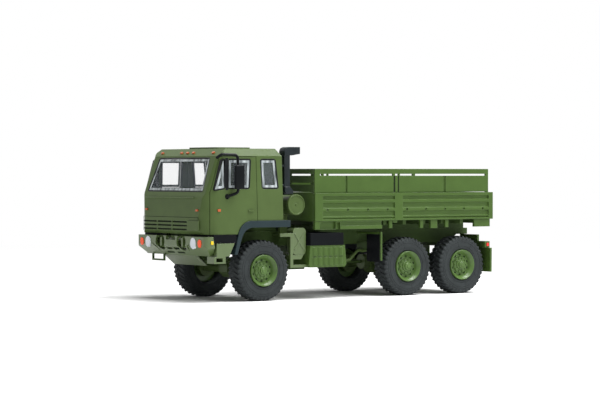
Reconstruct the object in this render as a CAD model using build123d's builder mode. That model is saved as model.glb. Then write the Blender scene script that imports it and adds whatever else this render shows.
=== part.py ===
"""Display model of a three-axle cab-over military cargo truck, scale 1:72.

Millimetres at the model's own size.  +Z is up, the cab faces -Y and +X is the
truck's left side.  The origin is on the ground below the middle of the model.
"""

import math
import os

from build123d import *

os.makedirs("parts", exist_ok=True)

# ------------------------------------------------------------- driving sizes
# Running gear
tyre_radius = 7.9
tyre_width = 5.36
tread_depth = 0.5
lug_count = 18
lug_share = 0.55
rim_radius = 4.1
track = 26.5
wheelbase = 47.2
bogie_spacing = 18.8
pin_radius = 0.6
running_gap = 0.06
seat_gap = 0.02

# Overall
front_overhang = 18.65
rear_overhang = 10.1
body_half_width = 16.93

# Frame
rail_above_axle = 9.82
rail_height = 3.8
rail_outer_x = 5.97
rail_flange = 1.0
sheet = 0.45

# Cab
cab_inset = 0.33
cab_wall = 0.7
cab_sill_drop = 0.32
cab_height = 22.0
eaves_drop = 1.9
belt_height = 10.7
arch_rise = 3.1
shut_gap = 0.14
glass_thickness = 0.4
seal_width = 0.3

# Cargo bed
bed_front_gap = 9.8
bed_board = 1.03
bed_floor_rise = 3.4
bed_floor_thickness = 0.7
bed_side_height = 6.7
rack_height = 5.9
rack_thickness = 0.55

# ---------------------------------------------------------- derived stations
length = front_overhang + wheelbase + bogie_spacing + rear_overhang
front_face = -length / 2
rear_face = length / 2
front_axle = front_face + front_overhang
middle_axle = front_axle + wheelbase
rear_axle = middle_axle + bogie_spacing
bogie_centre = (middle_axle + rear_axle) / 2
axle_z = tyre_radius
half_track = track / 2
tyre_inner_x = half_track - tyre_width / 2
rail_top = axle_z + rail_above_axle
rail_bottom = rail_top - rail_height
cab_sill = rail_top - cab_sill_drop
cab_roof = cab_sill + cab_height
cab_eaves = cab_roof - eaves_drop
cab_belt = cab_sill + belt_height
cab_nose = front_face + 0.42
cab_back = front_axle + 5.75
arch_top = rail_top + arch_rise
floor_top = rail_top + bed_floor_rise
bed_front = cab_back + bed_front_gap
bed_side_top = floor_top + bed_side_height
rack_top = bed_side_top + rack_height + 0.5
cab_half_width = body_half_width - cab_inset
board_inner_x = body_half_width - bed_board
axles = (("front", front_axle), ("middle", middle_axle), ("rear", rear_axle))


def block(x_span, y_span, z_span, mode=Mode.ADD):
    """Straight block between a pair of stations along each axis."""
    spans = (x_span, y_span, z_span)
    with Locations(tuple((low + high) / 2 for low, high in spans)):
        Box(*(abs(high - low) for low, high in spans), mode=mode)


def side_prism(outline, x_span, mode=Mode.ADD):
    """Side outline of (y, z) points, extruded across from one x to another."""
    with BuildSketch(Plane.YZ.offset(x_span[0])) as profile:
        Polygon(*outline, align=None)
    extrude(profile.sketch, amount=x_span[1] - x_span[0], mode=mode)


def front_prism(outline, y_span, mode=Mode.ADD):
    """Front outline of (x, z) points, extruded back from one y to another."""
    with BuildSketch(Plane.XZ.offset(-y_span[0])) as profile:
        Polygon(*outline, align=None)
    extrude(profile.sketch, amount=y_span[0] - y_span[1], mode=mode)


def side_rod(x_span, y, z, radius, mode=Mode.ADD):
    """Round bar that lies across the truck."""
    with BuildSketch(Plane.YZ.offset(x_span[0])) as profile:
        with Locations((y, z)):
            Circle(radius)
    extrude(profile.sketch, amount=x_span[1] - x_span[0], mode=mode)


def long_rod(x, y_span, z, radius, mode=Mode.ADD):
    """Round bar that lies along the truck."""
    with BuildSketch(Plane.XZ.offset(-y_span[0])) as profile:
        with Locations((x, z)):
            Circle(radius)
    extrude(profile.sketch, amount=y_span[0] - y_span[1], mode=mode)


def save(piece, label):
    """Label a finished piece and write its STEP file."""
    piece.part.label = label
    export_step(piece.part, f"parts/{label}.step")


def save_pair(left, label):
    """Write a left-hand piece and its mirrored right-hand twin as one node."""
    with BuildPart() as pair:
        add(left.part)
        mirror(left.part, about=Plane.YZ)
    save(pair, label)


# -------------------------------------------------------------- wheels, tyres
tyre_half = tyre_width / 2
carcass_radius = tyre_radius - tread_depth
lug_pitch = 360 / lug_count
lug_turn = lug_pitch * lug_share
shoulder_width = 0.5
shoulder_drop = 0.55


def tread_ring(height, drop):
    """Outline of the tread at one height across the tyre: lug tips and grooves."""
    corners = (  # share of the lug's turn, radius
        (0.0, carcass_radius - drop),
        (0.12, tyre_radius - drop),
        (0.88, tyre_radius - drop),
        (1.0, carcass_radius - drop),
    )
    points = []
    for index in range(lug_count):
        for share, radius in corners:
            angle = index * lug_pitch + share * lug_turn
            corner = Vector(radius, 0, 0).rotate(Axis.Z, angle)
            points.append((corner.X, corner.Y))
    with BuildSketch(Plane.XY.offset(height)) as ring:
        Polygon(*points, align=None)
    return ring.sketch


# Tyre and wheel forms stand with their axis on Z, outer side up
tread_half = tyre_half - shoulder_width
tyre_stations = (  # height, drop of the radius
    (-tyre_half, shoulder_drop),
    (-tread_half, 0),
    (tread_half, 0),
    (tyre_half, shoulder_drop),
)
with BuildPart() as tyre_form:
    loft([tread_ring(height, drop) for height, drop in tyre_stations], ruled=True)
    Cylinder(rim_radius + seat_gap, tyre_width + 1, mode=Mode.SUBTRACT)

lip_x = tyre_half + 0.28
wheel_back = -0.3
disc_x = 1.6
dish_radius = 3.1
rim_edge = 0.35
hub_radius = 1.1
hub_flange_radius = 1.75
hub_step_x = 2.0
hub_x = tyre_half + 0.05
pin_end = 1.4
rim_section = (  # from the wheel's centre plane, radius
    (disc_x, 0),
    (disc_x, dish_radius),
    (lip_x, rim_radius - rim_edge),
    (lip_x, rim_radius),
    (wheel_back, rim_radius),
    (wheel_back, pin_radius + seat_gap),
    (pin_end, pin_radius + seat_gap),
    (pin_end, 0),
)
hub_steps = ((hub_flange_radius, hub_step_x), (hub_radius, hub_x))  # radius, outer end
with BuildPart() as rim_form:
    with BuildSketch(Plane.XZ):
        Polygon(*((r, x) for x, r in rim_section), align=None)
    revolve(axis=Axis.Z)
    for radius, end in hub_steps:
        with BuildSketch(Plane.XY.offset(disc_x)) as hub:
            RegularPolygon(radius, 12)
        extrude(hub.sketch, amount=end - disc_x)

outward = (0, 90, 0)
for label, axle_y in axles:
    with BuildPart() as tyre:
        with Locations((half_track, axle_y, axle_z)):
            add(tyre_form.part, rotation=outward)
    save_pair(tyre, f"{label}_tyres")
    with BuildPart() as wheel:
        with Locations((half_track, axle_y, axle_z)):
            add(rim_form.part, rotation=outward)
    save_pair(wheel, f"{label}_wheels")
    with BuildPart() as axle_pin:
        reach = half_track + pin_end - seat_gap
        side_rod((-reach, reach), axle_y, axle_z, pin_radius)
    save(axle_pin, f"{label}_axle_pin")

# ------------------------------------------------------------- axle housings
tube_radius = 1.15
drum_radius = 2.5
carrier_radius = 2.4
carrier_half = 2.0
nose_reach = 4.2
nose_radius = 2.1
drum_reach = half_track + wheel_back - 0.2
housing_end = drum_reach
bore_radius = pin_radius + running_gap
nose_rise = 0.9
housing_sections = (  # from x, to x, radius, sides
    (-housing_end, housing_end, tube_radius, 8),
    (-drum_reach, -tyre_inner_x - 0.4, drum_radius, 12),
    (tyre_inner_x + 0.4, drum_reach, drum_radius, 12),
    (-carrier_half, carrier_half, carrier_radius, 8),
)
with BuildPart() as housing:
    for start, end, radius, sides in housing_sections:
        with BuildSketch(Plane.YZ.offset(start)):
            RegularPolygon(radius, sides, rotation=180 / sides)
        extrude(amount=end - start)
    with BuildSketch(Plane.XZ):
        with Locations((0, nose_rise)):
            RegularPolygon(nose_radius, 10)
    extrude(amount=nose_reach)
    side_rod((-housing_end, housing_end), 0, 0, bore_radius, Mode.SUBTRACT)
with BuildPart() as axle_housings:
    for label, axle_y in axles:
        with Locations(Location((0, axle_y, axle_z), (0, 0, 180 if label == "front" else 0))):
            add(housing.part)
save(axle_housings, "axle_housings")

# ------------------------------------------------------------------- springs
spring_x = rail_outer_x - 0.5
spring_width = 1.1
front_spring_half = 6.6
leaf_count = 2
leaf_thickness = 0.5
eye_radius = 0.5
spring_seat = axle_z + tube_radius + seat_gap
with BuildPart() as front_springs:
    for side in (-1, 1):
        span = (side * (spring_x - spring_width / 2), side * (spring_x + spring_width / 2))
        for leaf in range(leaf_count):
            half = front_spring_half * (leaf + 1.2) / (leaf_count + 0.2)
            low = spring_seat + leaf * leaf_thickness
            rise = 1.6 * (half / front_spring_half) ** 2
            with BuildSketch(Plane.YZ.offset(min(span))):
                with BuildLine():
                    ThreePointArc(
                        (front_axle - half, low + rise), (front_axle, low), (front_axle + half, low + rise)
                    )
                    Line((front_axle + half, low + rise), (front_axle + half, low + rise + leaf_thickness))
                    ThreePointArc(
                        (front_axle + half, low + rise + leaf_thickness),
                        (front_axle, low + leaf_thickness),
                        (front_axle - half, low + rise + leaf_thickness),
                    )
                    Line((front_axle - half, low + rise + leaf_thickness), (front_axle - half, low + rise))
                make_face()
            extrude(amount=spring_width)
        eye_z = spring_seat + (leaf_count - 1) * leaf_thickness + 1.6
        for end in (-1, 1):
            end_y = front_axle + end * front_spring_half
            with BuildSketch(Plane.YZ.offset(span[0])) as eye:
                with Locations((end_y, eye_z + 0.1)):
                    RegularPolygon(eye_radius, 8)
            extrude(eye.sketch, amount=span[1] - span[0])
            block(span, (end_y - 0.5, end_y + 0.5), (eye_z + 0.2, rail_bottom - seat_gap))
save(front_springs, "front_springs")

beam_half = bogie_spacing / 2
beam_seat = axle_z + tube_radius + seat_gap
trunnion_z = beam_seat + 2.2
with BuildPart() as rear_springs:
    for side in (-1, 1):
        span = (side * (spring_x - spring_width / 2), side * (spring_x + spring_width / 2))
        side_prism(
            (
                (middle_axle - 1.0, beam_seat),
                (middle_axle + 1.0, beam_seat),
                (bogie_centre - 3.0, trunnion_z - 0.9),
                (bogie_centre + 3.0, trunnion_z - 0.9),
                (rear_axle - 1.0, beam_seat),
                (rear_axle + 1.0, beam_seat),
                (rear_axle + 1.0, beam_seat + 0.6),
                (bogie_centre + 3.2, trunnion_z + 0.5),
                (bogie_centre - 3.2, trunnion_z + 0.5),
                (middle_axle - 1.0, beam_seat + 0.6),
            ),
            span,
        )
        side_prism(
            (
                (bogie_centre - 1.4, trunnion_z + 0.4),
                (bogie_centre + 1.4, trunnion_z + 0.4),
                (bogie_centre + 2.6, rail_bottom - seat_gap),
                (bogie_centre - 2.6, rail_bottom - seat_gap),
            ),
            span,
        )
save(rear_springs, "rear_springs")

# --------------------------------------------------------------------- frame
rail_front = front_face + 3.2
rail_rear = rear_face - 0.2
kick_y = rear_axle + 3.0
tail_rise = 2.1
rail_outline = (
    (rail_front, rail_bottom),
    (kick_y, rail_bottom),
    (kick_y + 3.0, rail_bottom + tail_rise),
    (rail_rear, rail_bottom + tail_rise),
    (rail_rear, rail_top),
    (rail_front, rail_top),
)
pocket_outline = (
    (rail_front - 1, rail_bottom + sheet),
    (kick_y - 0.2, rail_bottom + sheet),
    (kick_y + 2.8, rail_bottom + tail_rise + sheet),
    (rail_rear + 1, rail_bottom + tail_rise + sheet),
    (rail_rear + 1, rail_top - sheet),
    (rail_front - 1, rail_top - sheet),
)
with BuildPart() as frame_rail:
    side_prism(rail_outline, (rail_outer_x - rail_flange, rail_outer_x))
    side_prism(pocket_outline, (rail_outer_x - rail_flange, rail_outer_x - sheet), Mode.SUBTRACT)
save_pair(frame_rail, "frame_rails")

cross_half = rail_outer_x - rail_flange - seat_gap
cross_stations = (rail_front + 0.8, front_axle + 15.0, middle_axle - 10.5, middle_axle - 1.0, rear_axle + 1.0)
with BuildPart() as frame_crossmembers:
    for y in cross_stations:
        block((-cross_half, cross_half), (y - 0.6, y + 0.6), (rail_bottom + 0.3, rail_top - 0.3))
        block((-cross_half, cross_half), (y, y + 0.7), (rail_bottom + 0.8, rail_top - 0.8), Mode.SUBTRACT)
save(frame_crossmembers, "frame_crossmembers")

# ---------------------------------------------------------- engine, driveline
engine_half = 4.5
with BuildPart() as engine:
    block((-engine_half, engine_half), (front_axle - 7.5, front_axle + 11.5), (rail_bottom - 1.6, arch_top - 0.4))
save(engine, "engine")

case_y = front_axle + 19.5
shaft_radius = 0.45
with BuildPart() as transfer_case:
    block((-2.8, 2.8), (case_y - 2.6, case_y + 2.6), (axle_z - 0.6, rail_bottom + 1.6))
    block((-cross_half, cross_half), (case_y - 0.8, case_y + 0.8), (rail_bottom + 0.4, rail_bottom + 1.6))
save(transfer_case, "transfer_case")

shaft_z = axle_z + nose_rise
shaft_spans = (
    (front_axle + nose_reach + seat_gap, case_y - 2.6 - seat_gap),
    (case_y + 2.6 + seat_gap, middle_axle - nose_reach - seat_gap),
    (middle_axle + carrier_radius + 0.1, rear_axle - nose_reach - seat_gap),
)
with BuildPart() as propeller_shafts:
    for start, end in shaft_spans:
        with BuildSketch(Plane.XZ.offset(-start)) as shaft:
            with Locations((0, shaft_z)):
                RegularPolygon(shaft_radius, 8)
        extrude(shaft.sketch, amount=start - end)
save(propeller_shafts, "propeller_shafts")

# ----------------------------------------------------------------- cab shell
back_lean = 0.3
front_corner = 4.4
pillar_corner = 2.6
pillar_lead = 0.1
back_corner = 0.8
roof_inset = 1.3
screen_low = (cab_nose + 1.0, cab_belt)
screen_high = (cab_nose + 4.28, cab_eaves)
screen_slope = (0, screen_high[0] - screen_low[0], screen_high[1] - screen_low[1])
cab_profile = (  # y, z round the side view, from the sill's front corner upwards
    (cab_nose + 0.9, cab_sill),
    (cab_nose, cab_sill + 1.0),
    (cab_nose, cab_sill + 4.3),
    (cab_nose + 0.45, cab_sill + 9.5),
    screen_low,
    screen_high,
    (cab_nose + 6.6, cab_roof),
    (cab_back - 1.9, cab_roof),
    (cab_back - 0.35 - back_lean, cab_eaves),
    (cab_back, cab_sill),
)
cab_front_view = (
    (-cab_half_width, cab_sill),
    (cab_half_width, cab_sill),
    (cab_half_width, cab_eaves),
    (cab_half_width - roof_inset, cab_roof),
    (-cab_half_width + roof_inset, cab_roof),
    (-cab_half_width, cab_eaves),
)


def cab_plan(inset, z_span, mode=Mode.ADD):
    """Upright prism on the cab's plan, with its large round front corners."""
    half = cab_half_width - inset
    with BuildSketch(Plane.XY.offset(z_span[0])) as plan:
        with BuildLine():
            Polyline((-half, front_axle), (-half, cab_back - inset), (half, cab_back - inset), (half, front_axle))
            FilletPolyline(
                (half, front_axle), (half, cab_nose + inset), (-half, cab_nose + inset), (-half, front_axle),
                radius=front_corner - inset,
            )
        make_face()
    extrude(plan.sketch, amount=z_span[1] - z_span[0], mode=mode)


def pillar_prism(inset, mode=Mode.ADD):
    """Long prism that leans with the windscreen and rounds the front pillars."""
    half = cab_half_width - inset
    slope_plane = Plane(origin=(0, *screen_low), x_dir=(1, 0, 0), z_dir=screen_slope)
    face = inset - pillar_lead
    depth = 60
    with BuildSketch(slope_plane) as section:
        with BuildLine():
            FilletPolyline((half, depth), (half, face), (-half, face), (-half, depth), radius=pillar_corner - inset)
            Line((-half, depth), (half, depth))
        make_face()
    extrude(section.sketch, amount=40, both=True, mode=mode)


def cab_form(inset):
    """Outside of the cab, or its inside when inset by the wall."""
    with BuildPart() as form:
        with BuildSketch(Plane.YZ):
            Polygon(*cab_profile, align=None)
            if inset:
                offset(amount=-inset, kind=Kind.INTERSECTION, mode=Mode.REPLACE)
        extrude(amount=cab_half_width, both=True)
        with BuildSketch(Plane.XZ):
            Polygon(*cab_front_view, align=None)
            if inset:
                offset(amount=-inset, kind=Kind.INTERSECTION, mode=Mode.REPLACE)
        extrude(amount=length, both=True, mode=Mode.INTERSECT)
        cab_plan(inset, (0, cab_roof + 1), Mode.INTERSECT)
        pillar_prism(inset, Mode.INTERSECT)
    return form.part


arch_radius = 4.2
arch_foot = arch_top - 8.6
arch_front = front_axle - 9.67
arch_corner = front_axle - 7.69
arch_rear = front_axle + 7.65


def arch_sheet(x_span, foot_thickness, top_thickness, mode=Mode.ADD):
    """Mudguard band whose outer line follows the wheel arch."""
    outer = ((arch_front, arch_foot), (arch_corner, arch_top), (arch_rear, arch_top))
    inner = (
        (arch_front + foot_thickness, arch_foot),
        (arch_corner + foot_thickness + 0.3, arch_top - top_thickness),
        (arch_rear, arch_top - top_thickness),
    )
    with BuildSketch(Plane.YZ.offset(x_span[0])) as profile:
        with BuildLine():
            FilletPolyline(*outer, radius=arch_radius)
            Line(outer[2], inner[2])
            FilletPolyline(*inner, radius=arch_radius - top_thickness / 3)
            Line(inner[0], outer[0])
        make_face()
    extrude(profile.sketch, amount=x_span[1] - x_span[0], mode=mode)


def arch_void(x_span, clearance, mode=Mode.SUBTRACT):
    """Everything below the wheel arch, with a clearance around the mudguard."""
    with BuildSketch(Plane.YZ.offset(x_span[0])) as profile:
        with BuildLine():
            top = arch_top + clearance
            FilletPolyline(
                (arch_front - clearance, arch_foot), (arch_corner - clearance, top), (arch_rear + 1, top),
                radius=arch_radius,
            )
            Polyline((arch_rear + 1, top), (arch_rear + 1, arch_foot), (arch_front - clearance, arch_foot))
        make_face()
    extrude(profile.sketch, amount=x_span[1] - x_span[0], mode=mode)


# Side openings: (y, z) corners, front top first, then clockwise seen from the left
door_front = cab_nose + 1.65
door_rear = front_axle - 2.35
window_top = cab_eaves - 0.7
window_bottom = cab_eaves - 8.55
door_outline = (
    (door_front, cab_sill - 1),
    (door_front, cab_sill + 5.0),
    (door_front, cab_belt),
    (door_front + 3.0, cab_eaves - 0.15),
    (door_rear - 0.55, cab_eaves - 0.15),
    (door_rear, cab_sill + 3.5),
    (door_rear, cab_sill - 1),
)
quarter_window = (
    (front_axle - 13.5, window_top),
    (front_axle - 12.2, window_top),
    (front_axle - 12.3, window_bottom),
    (front_axle - 16.0, window_bottom - 0.45),
)
door_window = (
    (front_axle - 11.6, window_top),
    (front_axle - 4.45, window_top),
    (front_axle - 4.85, window_bottom),
    (front_axle - 11.7, window_bottom),
)
rear_side_window = (
    (front_axle - 1.75, window_top),
    (front_axle + 3.2, window_top),
    (front_axle + 4.2, window_bottom),
    (front_axle - 1.15, window_bottom),
)
side_windows = (quarter_window, door_window, rear_side_window)
window_corner = 0.45


def side_window(outline, x_span, inset, mode=Mode.ADD):
    """Prism through the cab side on a window outline with rounded corners."""
    with BuildSketch(Plane.YZ.offset(x_span[0])) as profile:
        Polygon(*outline, align=None)
        if inset:
            offset(amount=-inset, kind=Kind.INTERSECTION, mode=Mode.REPLACE)
        chamfer(vertices(), length=window_corner - 0.8 * inset)
    extrude(profile.sketch, amount=x_span[1] - x_span[0], mode=mode)


screen_outline = ((-13.55, 0.15), (13.55, 0.15), (12.3, 9.55), (-12.3, 9.55))
screen_plane = Plane(
    origin=(0, *screen_low),
    x_dir=(1, 0, 0),
    z_dir=(0, -(screen_high[1] - screen_low[1]), screen_high[0] - screen_low[0]),
)


def windscreen(depth_span, inset, mode=Mode.ADD):
    """Slab in the plane of the windscreen, from one depth below it to another."""
    with BuildSketch(screen_plane.offset(-depth_span[0])) as profile:
        Polygon(*screen_outline, align=None)
        if inset:
            offset(amount=-inset, kind=Kind.INTERSECTION, mode=Mode.REPLACE)
        chamfer(vertices(), length=window_corner - 0.8 * inset)
    extrude(profile.sketch, amount=depth_span[0] - depth_span[1], mode=mode)


back_window_half = 5.5
back_window_z = (window_bottom + 1.0, window_top - 0.6)
side_reach = (cab_half_width - cab_wall - 0.6, cab_half_width + 1)
door_reach = cab_half_width - 2.1
louvre_rows = (cab_sill + 1.2, cab_sill + 2.2, cab_sill + 3.15)
louvre_spans = ((-14.0, -7.2), (-6.8, 0.1), (0.5, 7.5))
louvre_height = 0.42
louvre_depth = 0.4

inside_reach = cab_half_width - cab_wall
with BuildPart() as cab_body:
    add(cab_form(0))
    add(cab_form(cab_wall), mode=Mode.SUBTRACT)
    block((-inside_reach, inside_reach), (cab_nose + 2.05, cab_back - 1.2), (cab_sill - 1, cab_sill + 1), Mode.SUBTRACT)
    arch_void((-body_half_width - 1, body_half_width + 1), 0.02)
    windscreen((-1, 3), 0, Mode.SUBTRACT)
    for outline in side_windows:
        for side in (-1, 1):
            reach = tuple(sorted((side * side_reach[0], side * side_reach[1])))
            side_window(outline, reach, 0, Mode.SUBTRACT)
    block((-back_window_half, back_window_half), (cab_back - 3, cab_back + 1), back_window_z, Mode.SUBTRACT)
    for x_span in louvre_spans:
        for z in louvre_rows:
            block(x_span, (cab_nose - 1, cab_nose + louvre_depth), (z - louvre_height / 2, z + louvre_height / 2), Mode.SUBTRACT)

with BuildPart() as cab_shell:
    add(cab_body.part)
    for side in (-1, 1):
        side_prism(door_outline, (side * door_reach, side * (cab_half_width + 1)), Mode.SUBTRACT)
save(cab_shell, "cab_shell")

with BuildPart() as door:
    add(cab_body.part)
    with BuildSketch(Plane.YZ.offset(door_reach)):
        Polygon(*door_outline, align=None)
        offset(amount=-shut_gap, kind=Kind.INTERSECTION, mode=Mode.REPLACE)
    extrude(amount=4, mode=Mode.INTERSECT)
    handle_y = door_rear - 2.2
    block((cab_half_width - 0.1, cab_half_width + 0.25), (handle_y - 0.8, handle_y + 0.8), (cab_sill + 5.8, cab_sill + 6.2))
save_pair(door, "doors")

# --------------------------------------------------------- glass and its seals
side_skin = (cab_half_width - cab_wall, cab_half_width)
with BuildPart() as window_seals:
    windscreen((0, cab_wall), seat_gap)
    windscreen((-1, 2), seal_width, Mode.SUBTRACT)
    for outline in side_windows:
        for side in (-1, 1):
            skin = tuple(sorted(side * x for x in side_skin))
            side_window(outline, skin, seat_gap)
            side_window(outline, (skin[0] - 1, skin[1] + 1), seal_width, Mode.SUBTRACT)
save(window_seals, "window_seals")

with BuildPart() as cab_glass:
    windscreen((0.1, 0.1 + glass_thickness), seal_width + seat_gap)
    for outline in side_windows:
        for side in (-1, 1):
            pane = (side * (side_skin[1] - 0.1 - glass_thickness), side * (side_skin[1] - 0.1))
            side_window(outline, pane, seal_width + seat_gap)
    block(
        (-back_window_half + seat_gap, back_window_half - seat_gap),
        (cab_back - 0.9, cab_back - 0.9 + glass_thickness),
        (back_window_z[0] + seat_gap, back_window_z[1] - seat_gap),
    )
save(cab_glass, "cab_glass")

# -------------------------------------------------------------- cab interior
inside_half = cab_half_width - cab_wall - 0.1
footwell_z = rail_top + 0.05
cab_floor_z = arch_top + 0.05
floor_sheet = 0.5
heel_y = arch_front + 0.5
with BuildPart() as cab_floor:
    side_prism(
        (
            (cab_nose + 2.1, footwell_z),
            (heel_y, footwell_z),
            (heel_y + 1.3, cab_floor_z),
            (cab_back - cab_wall - 0.3, cab_floor_z),
            (cab_back - cab_wall - 0.3, cab_floor_z + floor_sheet),
            (heel_y + 0.8, cab_floor_z + floor_sheet),
            (heel_y - 0.5, footwell_z + floor_sheet),
            (cab_nose + 2.1, footwell_z + floor_sheet),
        ),
        (-inside_half, inside_half),
    )
    cab_plan(cab_wall + 0.1, (0, cab_roof), Mode.INTERSECT)
save(cab_floor, "cab_floor")

dash_front = cab_nose + 2.1
dash_top = cab_belt - 0.6
with BuildPart() as dashboard:
    side_prism(
        (
            (dash_front, footwell_z + floor_sheet + 0.02),
            (dash_front + 0.6, footwell_z + floor_sheet + 0.02),
            (dash_front + 0.9, dash_top - 3.4),
            (dash_front + 3.0, dash_top - 2.6),
            (dash_front + 2.6, dash_top - 0.8),
            (dash_front + 0.9, dash_top),
            (dash_front, dash_top),
        ),
        (-inside_half + 0.3, inside_half - 0.3),
    )
    cab_plan(cab_wall + 0.1, (0, cab_roof), Mode.INTERSECT)
save(dashboard, "dashboard")

seat_half = 3.3
seat_stations = (-9.6, 0.0, 9.6)
seat_base_z = cab_floor_z + floor_sheet + 0.02
with BuildPart() as seats:
    for x in seat_stations:
        span = (x - seat_half, x + seat_half)
        block((x - 2.2, x + 2.2), (front_axle - 5.6, front_axle - 1.2), (seat_base_z, seat_base_z + 2.2))
        side_prism(
            (
                (front_axle - 6.6, seat_base_z + 2.2),
                (front_axle - 0.2, seat_base_z + 2.2),
                (front_axle + 1.0, seat_base_z + 6.6),
                (front_axle + 0.0, seat_base_z + 7.0),
                (front_axle - 1.4, seat_base_z + 3.7),
                (front_axle - 6.4, seat_base_z + 3.5),
            ),
            span,
        )
save(seats, "seats")

wheel_tilt = 35
steering_x = 9.6
steering_centre = (steering_x, dash_front + 4.3, dash_top - 1.4)
with BuildPart() as steering_wheel:
    with BuildSketch(Plane(origin=steering_centre, x_dir=(1, 0, 0), z_dir=(0, 0.57, 0.82))):
        RegularPolygon(2.9, 16)
        RegularPolygon(2.4, 16, mode=Mode.SUBTRACT)
        Rectangle(5.2, 0.6)
    extrude(amount=0.35)
    with BuildSketch(Plane(origin=steering_centre, x_dir=(1, 0, 0), z_dir=(0, -0.57, -0.82))):
        RegularPolygon(0.4, 8)
    extrude(amount=2.2)
save(steering_wheel, "steering_wheel")

# ---------------------------------------------------------------- cab outside
hatch_x = 2.6
hatch_y = front_axle - 5.0
with BuildPart() as roof_hatch:
    with BuildSketch(Plane.XY.offset(cab_roof + seat_gap)):
        with Locations((hatch_x, hatch_y)):
            RectangleRounded(12.6, 12.0, 1.5)
    extrude(amount=0.35)
save(roof_hatch, "roof_hatch")

marker_x = (-12.3, -2.85, 0.0, 2.85, 12.3)
brow_low = (cab_nose + 4.28, cab_eaves)
brow_high = (cab_nose + 6.6, cab_roof)
brow_plane = Plane(
    origin=(0, *brow_low),
    x_dir=(1, 0, 0),
    z_dir=(0, -(brow_high[1] - brow_low[1]), brow_high[0] - brow_low[0]),
)
with BuildPart() as marker_lamps:
    with BuildSketch(brow_plane.offset(seat_gap)):
        for x in marker_x:
            with Locations((x, 1.1)):
                Rectangle(0.9, 0.5)
    extrude(amount=0.35)
    for x in (-12.3, 12.3):
        block((x - 0.45, x + 0.45), (cab_nose - 0.2, cab_nose + 0.35), (cab_sill + 5.95, cab_sill + 6.45))
        add(cab_form(-seat_gap), mode=Mode.SUBTRACT)
save(marker_lamps, "marker_lamps")

plate_x = (8.3, 13.5)
with BuildPart() as number_plate:
    block(plate_x, (cab_nose - 0.3, cab_nose - seat_gap), (cab_sill + 1.1, cab_sill + 3.5))
save(number_plate, "number_plate")

# ------------------------------------------------------------ wheel arches
guard_inner_x = tyre_inner_x - 0.3
guard_lip = 0.7
with BuildPart() as wheel_arch:
    arch_sheet((guard_inner_x, body_half_width - guard_lip), 0.5, 0.5)
    arch_sheet((body_half_width - guard_lip, body_half_width), 0.8, 1.72)
save_pair(wheel_arch, "wheel_arches")

# --------------------------------------------------------------- steps, sills
step_rear = arch_front - 0.1
sill_bottom = cab_sill - 2.2
with BuildPart() as cab_sill_panel:
    block((rail_outer_x + 0.1, body_half_width - 0.15), (door_front + 0.6, arch_front + 0.55), (sill_bottom, cab_sill - 0.05))
    arch_void((rail_outer_x, body_half_width), 0.1)
save_pair(cab_sill_panel, "cab_sill_panels")

step_front = front_face + 3.45
step_bottom = cab_sill - 0.55 - 5.0 - 0.03
step_low_y = (front_face + 2.7, arch_front - 2.8)
with BuildPart() as cab_steps:
    for side in (-1, 1):
        side_prism(
            (
                (step_front, step_bottom),
                (arch_front - 1.7, step_bottom),
                (step_rear, sill_bottom - 0.05),
                (step_front, sill_bottom - 0.05),
            ),
            tuple(sorted((side * (tyre_inner_x + 1.0), side * body_half_width))),
        )
    block((tyre_inner_x + 3.0, body_half_width), step_low_y, (step_bottom - 1.8, step_bottom))
    block(
        (tyre_inner_x + 3.5, body_half_width + 1),
        (step_low_y[0] + 0.6, step_low_y[1] - 0.9),
        (step_bottom - 1.4, step_bottom - 0.4),
        Mode.SUBTRACT,
    )
save(cab_steps, "cab_steps")

# -------------------------------------------------------------------- bumper
bumper_top = cab_sill - 0.55
bumper_break = bumper_top - 2.4
bumper_bottom = bumper_top - 5.0
bumper_face = front_face + 0.15
bumper_outline = (
    (bumper_face, bumper_break),
    (bumper_face, bumper_top),
    (bumper_face + 2.3, bumper_top),
    (bumper_face + 2.3, bumper_top - 0.5),
    (bumper_face + 3.25, bumper_bottom + 0.2),
    (bumper_face + 2.5, bumper_bottom),
)
bumper_pocket = (
    (bumper_face + 0.6, bumper_break + 0.1),
    (bumper_face + 0.6, bumper_top - 0.5),
    (bumper_face + 3.4, bumper_top - 0.5),
    (bumper_face + 3.4, bumper_bottom - 0.4),
    (bumper_face + 3.2, bumper_bottom - 0.4),
)
headlamp_x = 10.96
turn_lamp_x = 14.04
lamp_z = bumper_top - 1.7
lamp_depth = 0.4
lamp_sides = 18
shackle_x = 5.14
shackle_radius = 2.2


def lamp_seat(x, half_width, half_height, clearance, amount, start, mode):
    """Oval lamp, or the oval pocket for it, in the face of the bumper."""
    outline = []
    for step in range(lamp_sides):
        angle = 2 * math.pi * step / lamp_sides
        outline.append((x + (half_width + clearance) * math.cos(angle), lamp_z + (half_height + clearance) * math.sin(angle)))
    with BuildSketch(Plane.XZ.offset(-start)) as profile:
        Polygon(*outline, align=None)
    extrude(profile.sketch, amount=amount, mode=mode)


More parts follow.
